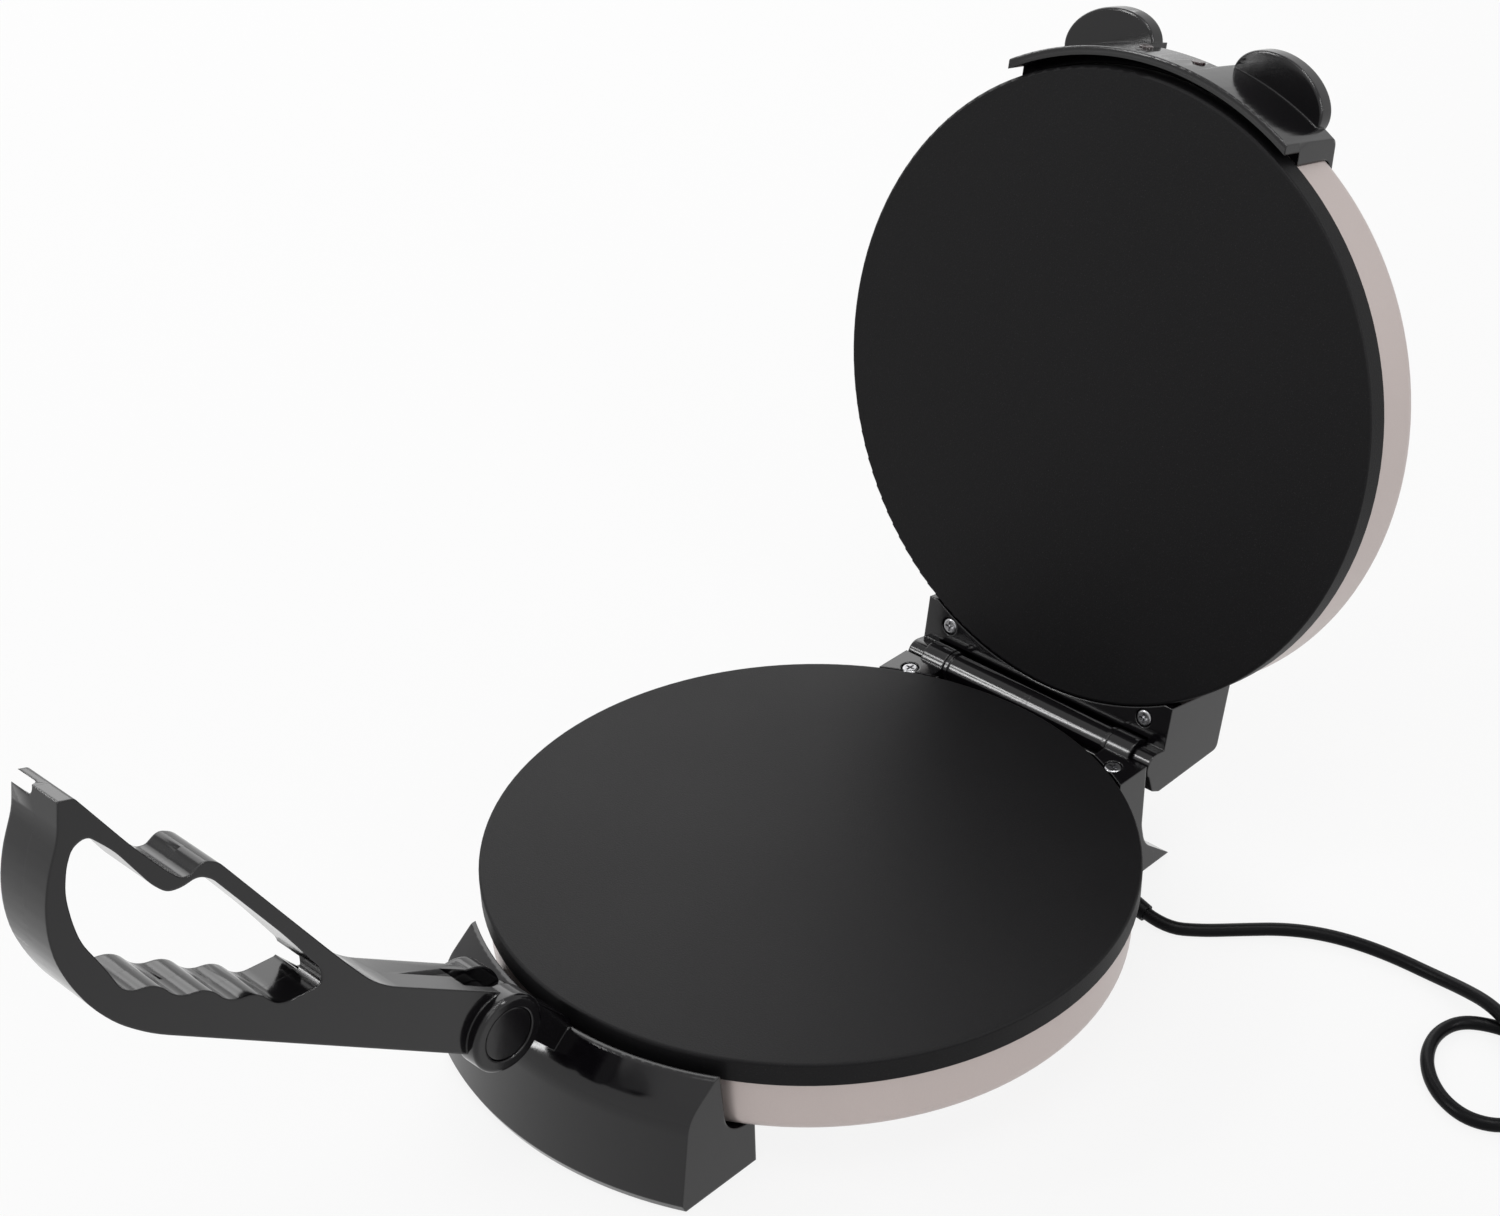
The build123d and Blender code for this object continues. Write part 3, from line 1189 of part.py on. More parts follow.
def left_shell():
    """The left half, with the two round-ended notches that reach its middle plane."""
    shell = lever_shell(-1)
    for a, b, angle, depth in NOTCH_SHARES:
        place = Pos(a * LEVER_LENGTH, b * LEVER_LENGTH) * Rot(Z=angle)
        reach = depth * LEVER_LENGTH
        notch = Pos(-reach / 2, 0) * SlotOverall(2 * reach, NOTCH_WIDTH)
        shell -= lever_prism(place * notch, -1, 0, LEVER_HALF + CUT)
    return shell


def barrel_caps():
    """Two round caps that close the barrels' recesses over the pin's heads."""
    caps = []
    for side in (-1, 1):
        outer = BARREL_FACE - CAP_SINK
        cap = lever_prism(Circle(CAP_RADIUS), side, outer - CAP_THICKNESS, outer)
        edge = cap.edges().filter_by(GeomType.CIRCLE).sort_by(Axis.X)[-1 if side > 0 else 0]
        caps.append(fillet(edge, CAP_SINK))
    return caps


def lever_pin():
    """Steel pivot through the lug, with a flat head in each barrel's recess."""
    seat = BARREL_FACE - CAP_DEPTH + CAP_FIT
    pin = rod(LEVER_PIN_RADIUS, -seat - PIN_HEAD_HEIGHT / 2, seat + PIN_HEAD_HEIGHT / 2, -PIVOT_REACH, PIVOT_HEIGHT)
    for side in (-1, 1):
        low, high = sorted((side * seat, side * (seat + PIN_HEAD_HEIGHT)))
        pin += rod(PIN_HEAD_RADIUS, low, high, -PIVOT_REACH, PIVOT_HEIGHT)
    return pin


# Screws, each made with the underside of its head at z = 0 and its shank down

def screw(crossed):
    """Pan-head screw, with a cross recess where its head can be seen."""
    head = Pos(Z=SCREW_HEAD_HEIGHT / 2) * Cylinder(SCREW_HEAD_RADIUS, SCREW_HEAD_HEIGHT)
    head = fillet(head.edges().group_by(Axis.Z)[-1], SCREW_HEAD_HEIGHT / 2)
    body = head + Pos(Z=-SCREW_LENGTH / 2) * Cylinder(SCREW_SHANK_RADIUS, SCREW_LENGTH)
    if crossed:
        length, width, depth = SCREW_CROSS
        for spread in ((length, width), (width, length)):
            body -= Pos(Z=SCREW_HEAD_HEIGHT - depth / 2) * Box(*spread, depth)
    return body


def base_screws():
    """Cover and foot screws from below, and the two crossed ones in the rear ears."""
    upward = Rot(X=180) * screw(False)
    pieces = []
    for x, y, _ in ring_places(PLATE_BOSS_COUNT, PLATE_BOSS_CIRCLE, PLATE_BOSS_START_ANGLE):
        pieces.append(Pos(x, y, COVER_TOP - COVER_SHEET) * upward)
    for x, y in foot_screw_places():
        pieces.append(Pos(x, y, PAN_FLOOR - FOOT_WALL - SCREW_FIT) * upward)
    x, y = EAR_SCREW_PLACE
    seat = -REAR_EAR_TOP - SCREW_HEAD_HEIGHT
    for side in (-1, 1):
        pieces.append(Pos(side * x, y, seat) * screw(True))
    return pieces


def lid_screws():
    """The two crossed screws in the underside of the lid's rear cover."""
    x, y = LID_SCREW_PLACE
    upward = Rot(X=180) * screw(True)
    return [Pos(side * x, y, LID_FACE + SCREW_HEAD_HEIGHT) * upward for side in (-1, 1)]


def lever_screws():
    """Three screws that join the lever's halves, sunk in the left one."""
    pieces = []
    for a, b in LEVER_BOSS_SHARES:
        place = lever_prism(Pos(a * LEVER_LENGTH, b * LEVER_LENGTH) * Circle(SCREW_SHANK_RADIUS), -1, 0, LEVER_HALF)
        centre = place.center()
        turned_screw = Rot(Y=-90) * screw(False)
        pieces.append(Pos(-LEVER_HALF + SCREW_HEAD_HEIGHT, centre.Y, centre.Z) * turned_screw)
    return pieces


# Wiring

def wire(points):
    """An insulated wire along straight runs with small bends."""
    return tube_along(FilletPolyline(*points, radius=WIRE_BEND), WIRE_RADIUS)


def terminal_block():
    """Ceramic screw terminal block on the bottom cover."""
    length, width, height = TERMINAL_BLOCK
    x, y = TERMINAL_BLOCK_PLACE
    block = Pos(x, y, COVER_TOP + height / 2) * Box(length, width, height)
    block = chamfer(block.edges().group_by(Axis.Z)[-1], TERMINAL_HOLE_RADIUS / 2)
    top = COVER_TOP + height
    for step in (-1, 0, 1):
        for side in (-1, 1):
            place = (x + step * length / 3, y + side * width / 4)
            block -= post(TERMINAL_HOLE_RADIUS, top - TERMINAL_HOLE_DEPTH, top + CUT, *place)
    return block


def heater_leads():
    """Tips of the two terminal pins with their headings, facing up."""
    half_gap = radians(HEATER_GAP_ANGLE / 2)
    for side in (-1, 1):
        start = Vector(side * HEATER_RADIUS * sin(half_gap), HEATER_RADIUS * cos(half_gap), heater_height())
        heading = Vector(-side * cos(half_gap), sin(half_gap), 0)
        yield side, start + heading * (HEATER_TAIL + TERMINAL_LENGTH), heading


def base_wiring():
    """Supply wires from the cord's bushing to the block, and leads to the element."""
    pieces = []
    x, y = TERMINAL_BLOCK_PLACE
    length, width, _ = TERMINAL_BLOCK
    exit_x, _, exit_z = CORD_EXIT
    for (place_x, place_y), turn in zip(SUPPLY_WIRE_PLACES, (1, -1)):
        start_z = exit_z + turn * WIRE_RADIUS
        pieces.append(wire([
            (exit_x - FOOT_WALL, place_y, start_z),
            (place_x, place_y, start_z),
            (place_x, place_y, WIRE_LEVEL),
            (place_x - WIRE_BEND, SUPPLY_TURN_REACH, WIRE_LEVEL),
            (place_x - WIRE_BEND, y + width / 2, WIRE_LEVEL),
        ]))
    for (side, tip, heading), end_y in zip(heater_leads(), LEAD_PLACES):
        stub = tip + heading * LEAD_STUB
        pieces.append(wire([
            tip,
            stub,
            Vector(stub.X, stub.Y, WIRE_LEVEL),
            Vector(LEAD_TURN_PLACE, end_y, WIRE_LEVEL),
            Vector(x - length / 2, end_y, WIRE_LEVEL),
        ]))
    return pieces


def lid_wiring():
    """Leads from the upper element through the band into the hollow rear cover."""
    pieces = []
    for side, tip, heading in heater_leads():
        face = Plane(origin=(0, 0, LID_FACE), x_dir=(-1, 0, 0), z_dir=(0, 0, -1))
        start = face.from_local_coords(tip)
        stub = face.from_local_coords(tip + heading * LEAD_STUB)
        out = LID_WIRE_SPREAD if stub.X > 0 else -LID_WIRE_SPREAD
        pieces.append(wire([
            start,
            stub,
            Vector(stub.X, stub.Y, LID_WIRE_HEIGHT),
            Vector(out, BAND_RADIUS - PLATE_DEPTH, LID_WIRE_HEIGHT),
            Vector(out, LID_WIRE_END, LID_WIRE_HEIGHT),
        ]))
    return pieces


# Mains cord

CORD_RADIUS = CORD_DIAMETER / 2
CORD_LEVEL = FLOOR + CORD_RADIUS


def relief_place(reach):
    """A point on the strain relief's sloping axis."""
    x, y, z = CORD_EXIT
    dip = radians(RELIEF_DIP)
    return (x + reach * cos(dip), y, z - reach * sin(dip))


RELIEF_TIP = relief_place(RELIEF_LENGTH)
COIL_LEVEL = CORD_LEVEL + COIL_LIFT
COIL_START = (COIL_CENTRE[0], COIL_CENTRE[1] - COIL_OUTER, COIL_LEVEL)
CROSSING_LEVEL = -46.6

CORD_ROUTE = [
    RELIEF_TIP,
    relief_place(RELIEF_LENGTH + RELIEF_RUN),
    (106.5, 113.6, CORD_LEVEL),
    (118.0, 125.0, CORD_LEVEL),
    (130.0, 136.6, CORD_LEVEL),
    (143.0, 144.4, CORD_LEVEL),
    (157.5, 149.2, CORD_LEVEL),
    (173.0, 151.6, CORD_LEVEL),
    (190.0, 151.4, -52.6),
    (206.0, 148.6, -49.4),
    (219.5, 144.6, CROSSING_LEVEL),
    (232.0, 139.0, CROSSING_LEVEL),
    (246.0, 130.5, -49.4),
    (256.5, 118.6, -52.6),
    (260.5, 105.6, CORD_LEVEL),
    (255.5, 95.0, CORD_LEVEL),
    (244.0, 90.0, CORD_LEVEL),
    (231.5, 92.8, CORD_LEVEL),
    (220.6, 100.6, CORD_LEVEL),
    (212.8, 111.4, CORD_LEVEL),
    (209.6, 124.0, CORD_LEVEL),
    (212.6, 135.4, CORD_LEVEL),
    (222.4, 141.6, CORD_LEVEL),
    (234.0, 144.0, CORD_LEVEL),
    (245.5, 143.8, -53.0),
    (256.0, 142.4, COIL_LEVEL),
    COIL_START,
]

PLUG_TIP = (306.5, 213.0, FLOOR + PLUG_HEIGHT / 2)


def ease_radii(points):
    """As large an arc at each corner of a cord's route as its two runs allow."""
    radii = []
    vectors = [Vector(*point) for point in points]
    for before, here, after in zip(vectors, vectors[1:], vectors[2:]):
        run_in, run_out = here - before, after - here
        turn = radians(run_in.get_angle(run_out))
        radii.append(EASE_SHARE * min(run_in.length, run_out.length) / tan(turn / 2))
    return radii


def cord_tube(points):
    """Round cord along a route, its straight runs joined by tangent arcs."""
    radii = ease_radii(points)
    path = FilletPolyline(*points, radius=radii)
    tube = tube_along(path, CORD_RADIUS)
    share = tube.volume / (pi * CORD_RADIUS ** 2 * path.length)
    print("cord length", round(path.length, 1), "radii", [round(radius, 1) for radius in radii])
    print("cord volume over section times length", round(share, 5))
    return tube


def coil_places():
    """Ends of the coil's half turns: two layers, with the climb where the spiral reverses."""
    x, y = COIL_CENTRE
    distances = [COIL_OUTER - index * COIL_PITCH / 2 for index in range(COIL_LAYER_HALF_TURNS + 1)]
    climb_end = distances[-1] - COIL_CLIMB_DRAW
    heights = [COIL_LEVEL] * len(distances) + [COIL_LEVEL + COIL_LAYER] * COIL_LAYER_HALF_TURNS
    distances.append(climb_end)
    for index in range(1, COIL_LAYER_HALF_TURNS):
        distances.append(climb_end + COIL_REVERSE_STEP + index * COIL_PITCH / 2)
    for index, (distance, height) in enumerate(zip(distances, heights)):
        yield Vector(x, y + (distance if index % 2 else -distance), height)


def coil_path():
    """The coil's line: half turns that alternate between its two sides."""
    places = list(coil_places())
    edges = []
    for index, (start, end) in enumerate(zip(places, places[1:])):
        middle = (start + end) / 2
        radius = (end - start).length / 2
        outward = Vector(-radius if index % 2 else radius, 0, 0)
        edges.append(ThreePointArc(start, middle + outward, end))
    return Wire(edges)


def coil_gap(path):
    """Least clear gap between turns, measured on points a quarter turn or more apart."""
    count = 60 * (2 * COIL_LAYER_HALF_TURNS)
    points = [path @ (index / count) for index in range(count + 1)]
    apart = count // (2 * COIL_LAYER_HALF_TURNS) // 2
    least = min(
        (a - b).length
        for index, a in enumerate(points)
        for b in points[index + apart:]
    )
    return least - CORD_DIAMETER


def cord_coil():
    """The coil that holds the spare length, one unbroken tube."""
    path = coil_path()
    print("coil length", round(path.length, 1), "least gap", round(coil_gap(path), 2))
    return tube_along(path, CORD_RADIUS)


def cord_tail_route():
    """From the coil's upper end down to the floor and up to the plug."""
    end = list(coil_places())[-1]
    tip_x, tip_y, tip_z = PLUG_TIP
    return [
        tuple(end),
        (275.0, end.Y, end.Z),
        (287.0, 147.5, end.Z),
        (297.0, 153.8, -48.8),
        (303.5, 163.4, -52.2),
        (tip_x, 174.5, CORD_LEVEL),
        (tip_x, 185.5, -52.0),
        (tip_x, 196.0, -47.6),
        (tip_x, 205.0, tip_z),
        PLUG_TIP,
    ]


def cord_tie():
    """A narrow strap round the coil's two layers."""
    x, y = COIL_CENTRE
    places = list(coil_places())
    left = [
        (start - end).length / 2
        for index, (start, end) in enumerate(zip(places, places[1:])) if index % 2
    ]
    gap = CORD_RADIUS + TIE_GAP
    side_gap = CORD_RADIUS + TIE_SIDE_GAP
    low_x, high_x = x - max(left) - side_gap, x - min(left) + side_gap
    low_z, high_z = COIL_LEVEL - gap, COIL_LEVEL + COIL_LAYER + gap
    skin = TIE_THICKNESS
    width = (y - TIE_WIDTH / 2, y + TIE_WIDTH / 2)
    outer = box((low_x - skin, high_x + skin), width, (low_z - skin, high_z + skin))
    outer = fillet(outer.edges().filter_by(Axis.Y), skin * 2)
    return outer - box((low_x, high_x), width, (low_z, high_z))


def cord_bushing():
    """Moulded strain relief: neck in the foot's wall, outer flange and a tapered sleeve."""
    exit_x, exit_y, exit_z = CORD_EXIT
    flange = rod(RELIEF_FLANGE_RADIUS, exit_x, exit_x + RELIEF_FLANGE, exit_y, exit_z)
    neck = rod(RELIEF_ROOT_RADIUS - WIRE_FIT / 2, exit_x - FOOT_WALL, exit_x + RELIEF_FLANGE, exit_y, exit_z)
    heading = Vector(cos(radians(RELIEF_DIP)), 0, -sin(radians(RELIEF_DIP)))
    tip = Vector(*RELIEF_TIP)
    root = Plane(origin=relief_place(RELIEF_FLANGE), z_dir=heading) * Circle(RELIEF_ROOT_RADIUS - WIRE_FIT)
    end = Plane(origin=tip, z_dir=heading) * Circle(RELIEF_TIP_RADIUS)
    sleeve = loft([root, end], ruled=True)
    return flange + neck + sleeve


def power_plug():
    """Moulded mains plug with two flat blades and a round earth pin."""
    x, y, z = PLUG_TIP
    along = Plane(origin=PLUG_TIP, x_dir=(1, 0, 0), z_dir=(0, 1, 0))
    thin = along * Circle(RELIEF_TIP_RADIUS)
    thick = along.offset(PLUG_RELIEF_LENGTH) * Circle(RELIEF_ROOT_RADIUS)
    sleeve = loft([thin, thick], ruled=True)
    rear = RectangleRounded(PLUG_WIDTH * PLUG_TAPER, PLUG_HEIGHT * PLUG_TAPER, RELIEF_TIP_RADIUS)
    front = RectangleRounded(PLUG_WIDTH, PLUG_HEIGHT, RELIEF_TIP_RADIUS)
    body = loft([
        along.offset(PLUG_RELIEF_LENGTH) * rear,
        along.offset(PLUG_RELIEF_LENGTH + PLUG_LENGTH * PLUG_TAPER) * front,
    ], ruled=True)
    face = y + PLUG_RELIEF_LENGTH + PLUG_LENGTH
    body += extrude(along.offset(PLUG_RELIEF_LENGTH + PLUG_LENGTH * PLUG_TAPER) * front, PLUG_LENGTH * (1 - PLUG_TAPER))
    height, thickness, length = PRONG
    for side in (-1, 1):
        middle = z + side * PRONG_SPREAD / 2
        body += box(
            (x - height, x),
            (face, face + length),
            (middle - thickness / 2, middle + thickness / 2),
        )
    pin = Rot(X=90) * Cylinder(EARTH_PIN_RADIUS, length)
    return body + sleeve + Pos(x + EARTH_PIN_DROP, face + length / 2, z) * pin


# Write every node

lower_fittings = {
    "lower_heater": heater(),
    "lower_heater_clamps": clamp_straps(),
    "lower_thermostat": thermostat(),
    "lower_reflector": reflector(),
}
write("lower_plate", cooking_plate(LOWER_PLATE_RADIUS, BOSS_DEPTH))
for name, pieces in lower_fittings.items():
    write(name, pieces)
    group = pieces if isinstance(pieces, list) else [pieces]
    write(name.replace("lower", "upper"), [opened(turned_over(piece)) for piece in group])
write("thermal_fuse", fuse())
write("lower_housing", lower_housing())
write("bottom_cover", bottom_cover())
write("front_foot", front_foot())
write("rear_foot", rear_foot())
write("rubber_feet", rubber_feet())
write("hinge_pin", hinge_pin())
write("lever_pin", lever_pin())
write("base_screws", base_screws())
write("terminal_block", terminal_block())
write("base_wiring", base_wiring())
write("cord_bushing", cord_bushing())
write("power_cord", [cord_tube(CORD_ROUTE), cord_tube(cord_tail_route())])
write("cord_coil", cord_coil())
write("cord_tie", cord_tie())
write("power_plug", power_plug())
write("upper_plate", opened(turned_over(cooking_plate(UPPER_PLATE_RADIUS, BOSS_DEPTH))))
write("upper_housing", opened(upper_housing()))
write("lid_front_moulding", opened(lid_front_moulding()))
write("lid_rear_moulding", opened(lid_rear_moulding()))
write("indicator_lenses", [opened(piece) for piece in indicator_lenses()])
write("indicator_lamps", [opened(piece) for piece in indicator_lamps()])
write("lid_wiring", [opened(piece) for piece in lid_wiring()])
write("lid_screws", [opened(piece) for piece in lid_screws()])
write("lever_right_shell", lever_shell(1))
write("lever_left_shell", left_shell())
write("barrel_caps", barrel_caps())
write("lever_screws", lever_screws())
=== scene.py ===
import json
from math import cos, pi, radians, sin

import bpy
from mathutils import Matrix, Vector


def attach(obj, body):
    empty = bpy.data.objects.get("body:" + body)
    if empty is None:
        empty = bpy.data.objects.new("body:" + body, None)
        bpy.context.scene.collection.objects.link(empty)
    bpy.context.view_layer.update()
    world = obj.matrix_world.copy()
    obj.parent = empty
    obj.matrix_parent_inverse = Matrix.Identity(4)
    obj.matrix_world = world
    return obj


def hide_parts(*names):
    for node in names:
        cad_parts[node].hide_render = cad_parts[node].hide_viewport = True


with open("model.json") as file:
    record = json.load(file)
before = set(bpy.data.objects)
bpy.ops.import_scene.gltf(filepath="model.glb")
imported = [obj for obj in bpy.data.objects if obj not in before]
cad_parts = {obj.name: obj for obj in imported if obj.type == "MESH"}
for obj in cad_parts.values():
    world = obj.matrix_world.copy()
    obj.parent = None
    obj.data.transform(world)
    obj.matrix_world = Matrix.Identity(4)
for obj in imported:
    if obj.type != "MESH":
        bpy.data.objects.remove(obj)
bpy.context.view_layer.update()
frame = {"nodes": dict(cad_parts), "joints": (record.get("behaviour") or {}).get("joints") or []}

nodes = frame["nodes"]


# Cooking plates: two cast aluminium discs with a matt charcoal non-stick coating, sprayed
# on, which leaves a fine grain and very small lighter flecks.

COATING_COLOURS = (0.0060, 0.0058, 0.0064), (0.0095, 0.0092, 0.0100)
FLECK_COLOUR = (0.030, 0.029, 0.030)
FLECK_STOPS = [(0.60, (0, 0, 0)), (0.70, (1, 1, 1))]
COATING_RELIEF = 0.00008


class Socket:
    """A shader value that Python's operators add Math nodes to."""

    def __init__(self, tree, out):
        self.tree, self.out = tree, out

    @classmethod
    def of(cls, tree, kind, settings=None, values=None, output=0):
        """Add a node, set it up, feed its sockets and give one of its outputs."""
        node = tree.nodes.new(kind)
        for name, value in (settings or {}).items():
            if name == "stops":
                for stop, (place, colour) in zip(node.color_ramp.elements, value):
                    stop.position, stop.color = place, (*colour, 1)
            else:
                setattr(node, name, value)
        for name, value in (values or {}).items():
            if isinstance(value, Socket):
                tree.links.new(value.out, node.inputs[name])
            else:
                node.inputs[name].default_value = value
        return cls(tree, node.outputs[output])

    def math(self, operation, *values):
        """What a Math node makes of this value and others."""
        inputs = dict(enumerate((self, *values)))
        return Socket.of(self.tree, "ShaderNodeMath", {"operation": operation}, inputs)

    def __add__(self, other):
        return self.math("ADD", other)

    __radd__ = __add__

    def __mul__(self, other):
        return self.math("MULTIPLY", other)

    __rmul__ = __mul__


class Finish:
    """A named material whose varying values come from its own nodes."""

    def __init__(self, name, **constants):
        self.material = bpy.data.materials.new(name)
        self.material.use_nodes = True
        self.tree = self.material.node_tree
        self.shader = self.tree.nodes["Principled BSDF"]
        self.place = Socket.of(self.tree, "ShaderNodeTexCoord", output="Object")
        for key, value in constants.items():
            socket = key.replace("_", " ").title().replace("Ior", "IOR")
            self.shader.inputs[socket].default_value = value

    def noise(self, cells, detail=2.0, ragged=0.5, finer=None):
        """Noise from 0 to 1 over the piece, in cells per metre, finer along an axis if asked."""
        vector = self.place
        if finer:
            vector = Socket.of(self.tree, "ShaderNodeMapping", None, {0: vector, "Scale": finer})
        inputs = {"Vector": vector, "Scale": cells, "Detail": detail, "Roughness": ragged}
        return Socket.of(self.tree, "ShaderNodeTexNoise", None, inputs)

    def mix(self, factor, first, second):
        """A colour between two, by a factor."""
        colours = [value if isinstance(value, Socket) else (*value, 1) for value in (first, second)]
        inputs = {0: factor, 6: colours[0], 7: colours[1]}
        return Socket.of(self.tree, "ShaderNodeMix", {"data_type": "RGBA"}, inputs, output=2)

    def feed(self, **values):
        """Link values to the shader's sockets."""
        for key, value in values.items():
            self.tree.links.new(value.out, self.shader.inputs[key.replace("_", " ").title()])

    def mottle(self, colours, roughness, cells, detail=2.0, ragged=0.5):
        """Vary the colour and the roughness together, in soft patches, which are returned."""
        patches = self.noise(cells, detail, ragged)
        low, high = roughness
        self.feed(base_color=self.mix(patches, *colours), roughness=low + patches * (high - low))
        return patches

    def bump(self, height, depth, edge=None):
        """Relief from a height, in metres, over edges rounded by a radius if one is given."""
        values = {"Height": height, "Distance": depth}
        if edge:
            values["Normal"] = Socket.of(self.tree, "ShaderNodeBevel", {"samples": 6}, {"Radius": edge})
        relief = Socket.of(self.tree, "ShaderNodeBump", None, values)
        self.tree.links.new(relief.out, self.shader.inputs["Normal"])

    def on(self, *pieces):
        """Make it the only finish of some pieces."""
        for piece in pieces:
            piece.data.materials.clear()
            piece.data.materials.append(self.material)


coating = Finish("non_stick_coating", ior=1.5, specular_ior_level=0.11)
fleck = coating.noise(cells=2600, detail=3, ragged=0.7)
fleck_mask = Socket.of(coating.tree, "ShaderNodeValToRGB", {"stops": FLECK_STOPS}, {"Fac": fleck})
coating_cloud = coating.noise(cells=14, detail=4)
coating_grain = coating.noise(cells=1400, detail=3, ragged=0.6)
coating.feed(
    base_color=coating.mix(fleck_mask, coating.mix(coating_cloud, *COATING_COLOURS), FLECK_COLOUR),
    roughness=0.42 + coating_cloud * 0.10 + coating_grain * 0.06,
)
coating.bump(coating_grain, COATING_RELIEF)
coating.on(nodes["lower_plate"], nodes["upper_plate"])


# Heating elements under the plates, with their thermostats and trays: tubes in a heat
# stained steel sheath, moulded phenolic bodies, and trays pressed from bright sheet.
# The bottom cover is pressed from the same sheet.

SHEATH_COLOURS = (0.26, 0.25, 0.24), (0.38, 0.35, 0.32)
SHEET_COLOURS = (0.66, 0.66, 0.67), (0.78, 0.78, 0.79)
PHENOLIC_COLOURS = (0.035, 0.022, 0.016), (0.07, 0.045, 0.033)
METAL_RELIEF = 0.00005

sheath = Finish("element_sheath", metallic=1.0)
sheath.mottle(SHEATH_COLOURS, roughness=(0.38, 0.58), cells=90, detail=3)
sheath.bump(sheath.noise(cells=800), METAL_RELIEF)
sheath.on(nodes["lower_heater"], nodes["upper_heater"])

sheet = Finish("bright_sheet", metallic=1.0)
sheet.mottle(SHEET_COLOURS, roughness=(0.24, 0.40), cells=40, detail=3)
sheet.bump(sheet.noise(cells=500, finer=(1, 12, 1)), METAL_RELIEF)
sheet.on(nodes["lower_reflector"], nodes["upper_reflector"], nodes["bottom_cover"])

phenolic = Finish("phenolic_body")
phenolic.mottle(PHENOLIC_COLOURS, roughness=(0.45, 0.60), cells=400, detail=3)
phenolic.on(nodes["lower_thermostat"], nodes["upper_thermostat"])


# Fixings: the elements' clamps, the fuse in its saddle, both pins and all screws, in
# zinc plated steel, bent, turned or cold headed.

PLATED_COLOURS = (0.26, 0.26, 0.27), (0.40, 0.40, 0.41)
PLATED_RELIEF = 0.00003

plated = Finish("zinc_plated_steel", metallic=1.0)
plated.mottle(PLATED_COLOURS, roughness=(0.20, 0.36), cells=260, detail=3)
plated.bump(plated.noise(cells=1800), PLATED_RELIEF)
plated.on(
    nodes["lower_heater_clamps"], nodes["upper_heater_clamps"], nodes["thermal_fuse"], nodes["hinge_pin"],
    nodes["lever_pin"], nodes["base_screws"], nodes["lid_screws"], nodes["lever_screws"],
)


# Terminal block and wiring: a pressed ceramic block on the bottom cover, and wires in
# white silicone sleeving that stands the heat.

CERAMIC_COLOURS = (0.72, 0.70, 0.65), (0.80, 0.79, 0.75)
SLEEVING_COLOURS = (0.62, 0.60, 0.56), (0.72, 0.70, 0.66)

ceramic = Finish("ceramic")
ceramic.mottle(CERAMIC_COLOURS, roughness=(0.5, 0.7), cells=200, detail=3)
ceramic.on(nodes["terminal_block"])

sleeving = Finish("silicone_sleeving")
sleeving.mottle(SLEEVING_COLOURS, roughness=(0.4, 0.6), cells=300)
sleeving.on(nodes["base_wiring"], nodes["lid_wiring"])


# Housings: pressed steel sheet with a satin champagne lacquer, so fine metal flake shows
# under a soft sheen.

LACQUER_COLOURS = (0.50, 0.425, 0.405), (0.54, 0.465, 0.445)
FLAKE_COLOUR = (0.60, 0.53, 0.51)
LACQUER_RELIEF = 0.00003

lacquer = Finish("champagne_lacquer", metallic=0.55)
flake = lacquer.noise(cells=3200, ragged=0.6)
lacquer_cloud = lacquer.noise(cells=8, detail=3)
lacquer.feed(
    base_color=lacquer.mix(flake, lacquer.mix(lacquer_cloud, *LACQUER_COLOURS), FLAKE_COLOUR),
    roughness=0.33 + flake * 0.08 + lacquer_cloud * 0.05,
)
lacquer.bump(lacquer.noise(cells=450), LACQUER_RELIEF)
lacquer.on(nodes["lower_housing"], nodes["upper_housing"])


# Feet and the lid's rear cover: hollow injection mouldings in polished black plastic,
# their edges rounded in the mould, screwed to the housings.

MOULDING_COLOURS = (0.0030, 0.0026, 0.0034), (0.0052, 0.0045, 0.0058)
MOULDING_RIPPLE_CELLS = 120
MOULDING_RIPPLE = 0.00003
MOULDED_EDGE = 0.0009


def glossy_black(name):
    """Polished black plastic, handled a little."""
    plastic = Finish(name, ior=1.5, specular_ior_level=0.40)
    plastic.mottle(MOULDING_COLOURS, roughness=(0.07, 0.17), cells=26, detail=4, ragged=0.6)
    return plastic


gloss = glossy_black("gloss_black_plastic")
gloss.bump(gloss.noise(MOULDING_RIPPLE_CELLS), MOULDING_RIPPLE, MOULDED_EDGE)
gloss.on(nodes["front_foot"], nodes["rear_foot"], nodes["lid_rear_moulding"])


# Press lever: two half shells moulded in the same plastic and screwed together along the
# middle, so its outer edges are rounded and the joint between the halves stays tight.
# The left half has a short round-ended slot in its tip.

SEAM_HALF = 0.0016
SEAM_EDGE = 0.0001
LEVER_ANGLE = radians(36.2)
LEVER_HALF = 0.011
TIP_START = 0.1900
NOTCH_END = (0.2010, 0.0508)
NOTCH_HEADING = radians(19)
NOTCH_RADIUS = 0.0019
NOTCH_SIDE = 0.0010
NOTCH_RUN = 0.0160
NOTCH_FACETS = 32
MERGE_DISTANCE = 0.00002
SMOOTH_LIMIT = radians(30)

joints = {joint["name"]: joint for joint in frame["joints"]}
pivot = Vector(joints["lever_pivot"]["pos_m"])
along_lever = Vector((0, -cos(LEVER_ANGLE), sin(LEVER_ANGLE)))
above_lever = Vector((0, sin(LEVER_ANGLE), cos(LEVER_ANGLE)))


def on_lever(along, above, x=0):
    """A point of the lever from its place in the side view."""
    return pivot + along_lever * along + above_lever * above + Vector((x, 0, 0))


def picked(piece):
    """Make a piece the only selected object."""
    bpy.ops.object.select_all(action="DESELECT")
    bpy.context.view_layer.objects.active = piece
    piece.select_set(True)


